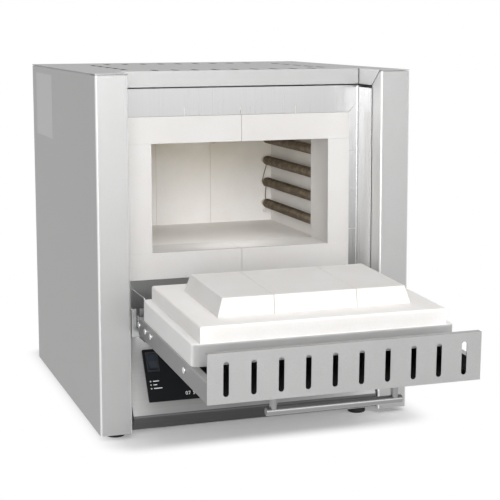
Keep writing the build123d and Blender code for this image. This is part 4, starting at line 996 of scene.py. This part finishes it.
@dataclass
class FrontFrame:
    """The bright plate round the collar and the sheets in front of it."""

    sheet: float = 1.2 * MM
    bend: float = 2.6 * MM
    hem: float = 0.8 * MM
    hem_drop: float = 3.0 * MM
    steps: int = 7

    def build(self) -> None:
        """Dresses the plate and the slanted panel and rounds the recess's corners."""
        dress_nodes(FRAME_PLATE, "front_frame_plate")
        dress_nodes(SlopeSteel(), "controller_panel")
        for side in Side:
            self.corner(side)
            self.edge(side)

    def upright(self, name: str, outline: np.ndarray, side: Side, drop: float = 0.0) -> None:
        """A prism along Z as high as the plate.

        Args:
            name: the piece's name.
            outline: its corners in X and Y on the right side, turning left.
            side: the side that it stands on.
            drop: how much lower than the plate's top it ends.
        """
        low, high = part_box("front_frame_plate")
        ends = (low.z + self.sheet, high.z - self.sheet - drop)
        placed = outline * (side.value, 1)
        rings = [np.column_stack([placed, np.full(len(placed), z)]) for z in ends]
        faces = ring_faces(2, len(placed))
        if side is Side.LEFT:
            faces = [face[::-1] for face in faces]
        piece = add_piece(f"{name}_{side.word}", np.vstack(rings), faces, smooth=False)
        # in steel lighter than the plate's, a painted highlight along the recess
        settle(piece, Body.CASING, BEND_HIGHLIGHT_STEEL, "bright_steel")

    def corner(self, side: Side) -> None:
        """The hollow bend between plate and flange: a quarter circle, filled out to the corner."""
        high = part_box("front_frame_plate")[1]
        inner = np.array([high.x - self.sheet, high.y - self.sheet])
        angle = np.linspace(0, np.pi / 2, self.steps)
        arc = inner - self.bend + self.bend * np.stack([np.cos(angle), np.sin(angle)], 1)
        self.upright("recess_bend", np.vstack([arc[::-1], inner + 0.3 * MM]), side)

    def edge(self, side: Side) -> None:
        """The rounded front edge of the flange, a thin round bar."""
        low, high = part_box("front_frame_plate")
        angle = np.arange(12) * np.pi / 6
        middle = np.array([high.x - self.sheet / 2, low.y])
        outline = middle + self.hem * np.stack([np.cos(angle), np.sin(angle)], 1)
        self.upright("recess_hem", outline, side, self.hem_drop)


@dataclass
class Controller:
    """The black front with its switch, lights, figures and knob."""

    plane_origin: Place = (0.0, -0.0658464, 0.0895)
    tilt: float = 31.5
    glass_top: float = 2.0 * MM
    print_lift: float = 0.06 * MM
    light_x: float = -175.0 * MM
    light_slopes: tuple[float, ...] = (-10.0 * MM, -16.0 * MM, -22.0 * MM)
    mark_lengths: tuple[float, ...] = (10.0 * MM, 6.0 * MM, 14.0 * MM)
    mark_start: float = 4.0 * MM
    mark_height: float = 1.3 * MM
    figures: str = "07 50"
    figures_x: float = -120.0 * MM
    figures_slope: float = -37.0 * MM
    figures_size: float = 8.2 * MM
    knob_x: float = 40.0 * MM
    knob_radius: float = 12.6 * MM
    knob_height: float = 13.0 * MM
    knob_gap: float = 0.3 * MM
    knob_ridges: int = 36
    ridge_depth: float = 0.35 * MM
    shaft_radius: float = 3.0 * MM
    shaft_depth: float = 7.2 * MM

    def build(self) -> None:
        """Dresses the front's nodes and adds marks, figures and the ridged knob."""
        dress_nodes(BlackFront(), "controller_glass")
        dress_nodes(GRIP_PLASTIC, "controller_housing", "rocker_bezel")
        dress_nodes(ROCKER_PLASTIC, "rocker_switch")
        dress_nodes(LENS, "status_lights")
        self.marks()
        self.numbers()
        self.knob()

    def plane(self) -> Matrix:
        """The glass's own axes: X across, Y up the slope, Z out of it."""
        tilt = math.radians(self.tilt)
        up = Vector((0, math.sin(tilt), math.cos(tilt)))
        out = Vector((0, -math.cos(tilt), math.sin(tilt)))
        turn = Matrix((Vector((1, 0, 0)), up, out)).transposed().to_4x4()
        return Matrix.Translation(self.plane_origin) @ turn

    def on_plane(self, points: np.ndarray) -> np.ndarray:
        """Points given in the glass's axes, in the shared frame."""
        matrix = np.array(self.plane())
        return points @ matrix[:3, :3].T + matrix[:3, 3]

    def marks(self) -> None:
        """Three plain bars beside the lights, each a thin box."""
        points, faces = [], []
        low, high = self.glass_top - self.print_lift, self.glass_top + self.print_lift
        for slope, length in zip(self.light_slopes, self.mark_lengths):
            x0 = self.light_x + self.mark_start
            y0, y1 = slope - self.mark_height / 2, slope + self.mark_height / 2
            base = np.array([(x0, y0), (x0 + length, y0), (x0 + length, y1), (x0, y1)])
            start = sum(len(part) for part in points)
            points += [np.column_stack([base, np.full(4, z)]) for z in (low, high)]
            faces += ring_faces(2, 4, start)
        piece = add_piece("light_marks", self.on_plane(np.vstack(points)), faces, smooth=False)
        # the print's glow on these marks is a painted glow
        settle(piece, Body.CASING, PRINT, "light_lens")

    def numbers(self) -> None:
        """Plain figures of a clock, as a flat mesh just over the glass."""
        text = bpy.data.curves.new("figures", "FONT")
        text.body = self.figures
        text.size = self.figures_size
        text.space_character = 1.15
        text.extrude = self.print_lift
        holder = in_scene("figures_outline", text)
        bpy.context.view_layer.update()
        shown = holder.evaluated_get(bpy.context.evaluated_depsgraph_get())
        mesh = bpy.data.meshes.new_from_object(shown)
        bpy.data.objects.remove(holder)
        lift = Matrix.Translation((self.figures_x, self.figures_slope, self.glass_top))
        mesh.transform(self.plane() @ lift)
        settle(in_scene("clock_figures", mesh), Body.CASING, PRINT, "light_lens")

    def knob(self) -> None:
        """The ridged knob and its shaft.

        The radius follows a profile of the height w, and on the grip it gets
        depth * (cos(n * a) - 1) / 2 added, where a is the angle and n the ridges' number.
        """
        low = self.glass_top + self.knob_gap
        top = low + self.knob_height
        crown = 1.6 * MM
        arc = np.linspace(0, np.pi / 2, 7)
        heights = np.concatenate(
            [[-self.shaft_depth, low, low, low + crown], top - crown + crown * np.sin(arc), [top]]
        )
        reach = self.knob_radius
        radii = np.concatenate(
            [
                [self.shaft_radius, self.shaft_radius, reach - 0.4 * MM, reach],
                reach - crown + crown * np.cos(arc),
                [reach * 0.3],
            ]
        )
        grip = ((heights > low) & (heights < top - crown * 0.2)).astype(float)
        grip[3:5] = 1.0
        sides = self.knob_ridges * 6
        angle = np.arange(sides) * 2 * np.pi / sides
        wave = self.ridge_depth * (np.cos(self.knob_ridges * angle) - 1) / 2
        reach_all = radii[:, None] + grip[:, None] * wave[None]
        x = self.knob_x + reach_all * np.cos(angle)
        y = reach_all * np.sin(angle)
        z = np.broadcast_to(heights[:, None], x.shape)
        points = self.on_plane(np.stack([x, y, z], -1).reshape(-1, 3))
        piece = add_piece("ridged_knob", points, ring_faces(len(heights), sides), smooth=False)
        settle(piece, Body.DIAL, TURNED, "dial_aluminium", "jog_dial")


@dataclass
class Brickwork:
    """Collar and chamber bricks, with soft edges."""

    edge: float = 0.7 * MM
    collar_edge: float = 0.5 * MM
    level: float = 0.94
    warmth: float = 0.020
    tint_low: float = 0.29
    tint_high: float = 0.50
    wall_stain: float = 0.6
    back_stain: float = 1.0

    def build(self) -> None:
        """Makes a soft copy of each brick node."""
        stain = {"tint_from": self.tint_low, "tint_full": self.tint_high}
        inside, back = (
            LightBrick(self.level, self.warmth, tint_share=share, **stain)
            for share in (self.wall_stain, self.back_stain)
        )
        collar = [f"collar_{place}_bricks" for place in ("top", "bottom", "side")]
        chamber = ["side_brick_left", "side_brick_right", "roof_brick", "floor_brick"]
        groups = (
            (COLLAR_BRICK, self.collar_edge, collar),
            (inside, self.edge, chamber),
            (back, self.edge, ["rear_bricks"]),
        )
        for finish, edge, nodes in groups:
            for node in nodes:
                settle(softened_copy(node, edge), Body.CASING, finish, "insulating_brick", node)


@dataclass
class HeatingSet:
    """Support tubes and wound coils on both sides of the chamber."""

    wire_radius: float = 0.95 * MM
    pitch: float = 2.15 * MM
    steps: int = 14
    sides: int = 6
    end_turns: float = 3.0
    end_share: float = 0.42
    link_radius: float = 0.9 * MM
    link_steps: int = 10
    levels: list[float] = field(default_factory=list)

    def build(self) -> None:
        """Winds the coils, joins them at the back and dresses tubes and rods."""
        for side in Side:
            dress_nodes(TUBE, f"support_tubes_{side.word}")
            self.measure(side)
            self.coils(side)
            self.links(side)
        dress_nodes(TERMINAL, "element_terminals")
        dress_nodes(TUBE, "thermocouple", "exhaust_tube")

    def measure(self, side: Side) -> None:
        """Reads from the frame where the coils lie and how thick they are."""
        low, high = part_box(f"heating_coils_{side.word}")
        self.middle_x = (low.x + high.x) / 2
        self.outer = (high.x - low.x) / 2
        self.start, self.end = low.y, high.y
        bottom, top = low.z + self.outer, high.z - self.outer
        self.levels = [bottom + i * (top - bottom) / 3 for i in range(4)]

    def coils(self, side: Side) -> None:
        """Four helices of close turns whose last turns draw in to a round end.

        Turn t of a coil is at (x + r cos 2 pi t, start + pitch * t, z + r sin 2 pi t), and
        r falls off as a quarter circle over the end turns.
        """
        length = self.end - self.start - 2 * self.wire_radius
        turns = length / self.pitch
        t = np.linspace(0, turns, int(turns * self.steps))
        near_end = np.clip((t - turns + self.end_turns) / self.end_turns, 0, 1)
        full = self.outer - self.wire_radius
        reach = full * (1 - self.end_share * (1 - np.sqrt(1 - near_end**2)))
        angle = 2 * np.pi * t
        out = np.stack([np.cos(angle), np.zeros_like(t), np.sin(angle)], 1)
        points, faces = [], []
        for index, level in enumerate(self.levels):
            middle = np.stack(
                [
                    np.full_like(t, self.middle_x),
                    self.start + self.wire_radius + self.pitch * t,
                    np.full_like(t, level),
                ],
                1,
            )
            points.append(swept(middle + reach[:, None] * out, out, self.wire_radius, self.sides))
            faces += ring_faces(len(t), self.sides, index * len(t) * self.sides)
        piece = add_piece(f"wound_coils_{side.word}", np.vstack(points), faces)
        settle(piece, Body.CASING, WIRE, "coil_wire", f"heating_coils_{side.word}")

    def links(self, side: Side) -> None:
        """Thin wires that join the coils' rear ends, each a round wire on a soft line.

        Each point of a route gives its way inward and forward in millimetres, and its height.
        """
        rear = self.end - 2.0 * MM
        low, mid, high = self.levels[:3]
        reach = self.outer
        routes = (
            (
                (0.0, 0.0, high - reach * 0.75),
                (2.5, 0.0, high - reach - 7 * MM),
                (6.5, 0.0, mid + reach + 3 * MM),
                (8.2, 0.0, mid + 2 * MM),
                (5.0, 0.0, mid - reach * 0.8),
                (0.0, 1.0, mid - reach * 0.9),
            ),
            (
                (1.0, 0.0, mid - reach * 0.85),
                (2.0, 0.0, mid - reach - 6 * MM),
                (2.6, 0.0, low + reach + 5 * MM),
                (1.5, 0.0, low + reach * 0.75),
            ),
        )
        points, faces = [], []
        for route in routes:
            corners = [
                (self.middle_x - side.value * inward * MM, rear - forward * MM, height)
                for inward, forward, height in route
            ]
            line = smooth_path(corners, self.link_steps)
            out = np.tile((0.0, 1.0, 0.0), (len(line), 1))
            start = sum(len(part) for part in points)
            points.append(swept(line, out, self.link_radius, 8))
            faces += ring_faces(len(line), 8, start)
        piece = add_piece(f"coil_links_{side.word}", np.vstack(points), faces)
        settle(piece, Body.CASING, WIRE, "coil_wire")


@dataclass
class Door:
    """The flap door with its slab, plug, pan and handle."""

    slab_edge: float = 1.2 * MM
    plug_edge: float = 1.0 * MM

    def build(self) -> None:
        """Dresses the sheets and makes the bricks soft."""
        dress_nodes(DoorLinen(), "door_outer_panel")
        dress_nodes(TRAY, "door_inner_tray")
        bricks = [("door_slab", self.slab_edge, SLAB_BRICK)]
        plugs = [f"door_plug_{part}" for part in ("left", "middle", "right")]
        bricks += [(plug, self.plug_edge, PLUG_BRICK) for plug in plugs]
        for node, edge, finish in bricks:
            settle(softened_copy(node, edge), Body.DOOR, finish, "insulating_brick", node)
        dress_nodes(BAR_STEEL, "handle_bar", "handle_standoffs")
        dress_nodes(SCREW_STEEL, "handle_screws", "door_bolts")
        dress_nodes(ZINC, "door_arm_left", "door_arm_right")
        dress_nodes(GRIP_PLASTIC, "door_magnet")


@dataclass
class Fittings:
    """Hinges, the lower compartment's parts and what stands out at the back."""

    def build(self) -> None:
        """Dresses the nodes."""
        dress_nodes(ZINC, "hinge_bracket_left", "hinge_bracket_right")
        dress_nodes(SCREW_STEEL, "hinge_pins")
        dress_nodes(GRIP_PLASTIC, "door_sensor", "solid_state_relay", "terminal_block", "cable_gland")
        dress_nodes(TURNED, "relay_heat_sink")
        dress_nodes(FRAME_STEEL, "exhaust_stub")


def main() -> None:
    """Builds the studio and every part of the furnace."""
    logging.basicConfig(level=logging.INFO, format="%(message)s")
    studio = Studio()
    body = (OuterCasing(), FrontFrame(), Controller(), Brickwork(), HeatingSet(), Door(), Fittings())
    for part in (studio, *body):
        part.build()
        LOG.info("%s done", type(part).__name__)


if __name__ == "__main__":
    main()
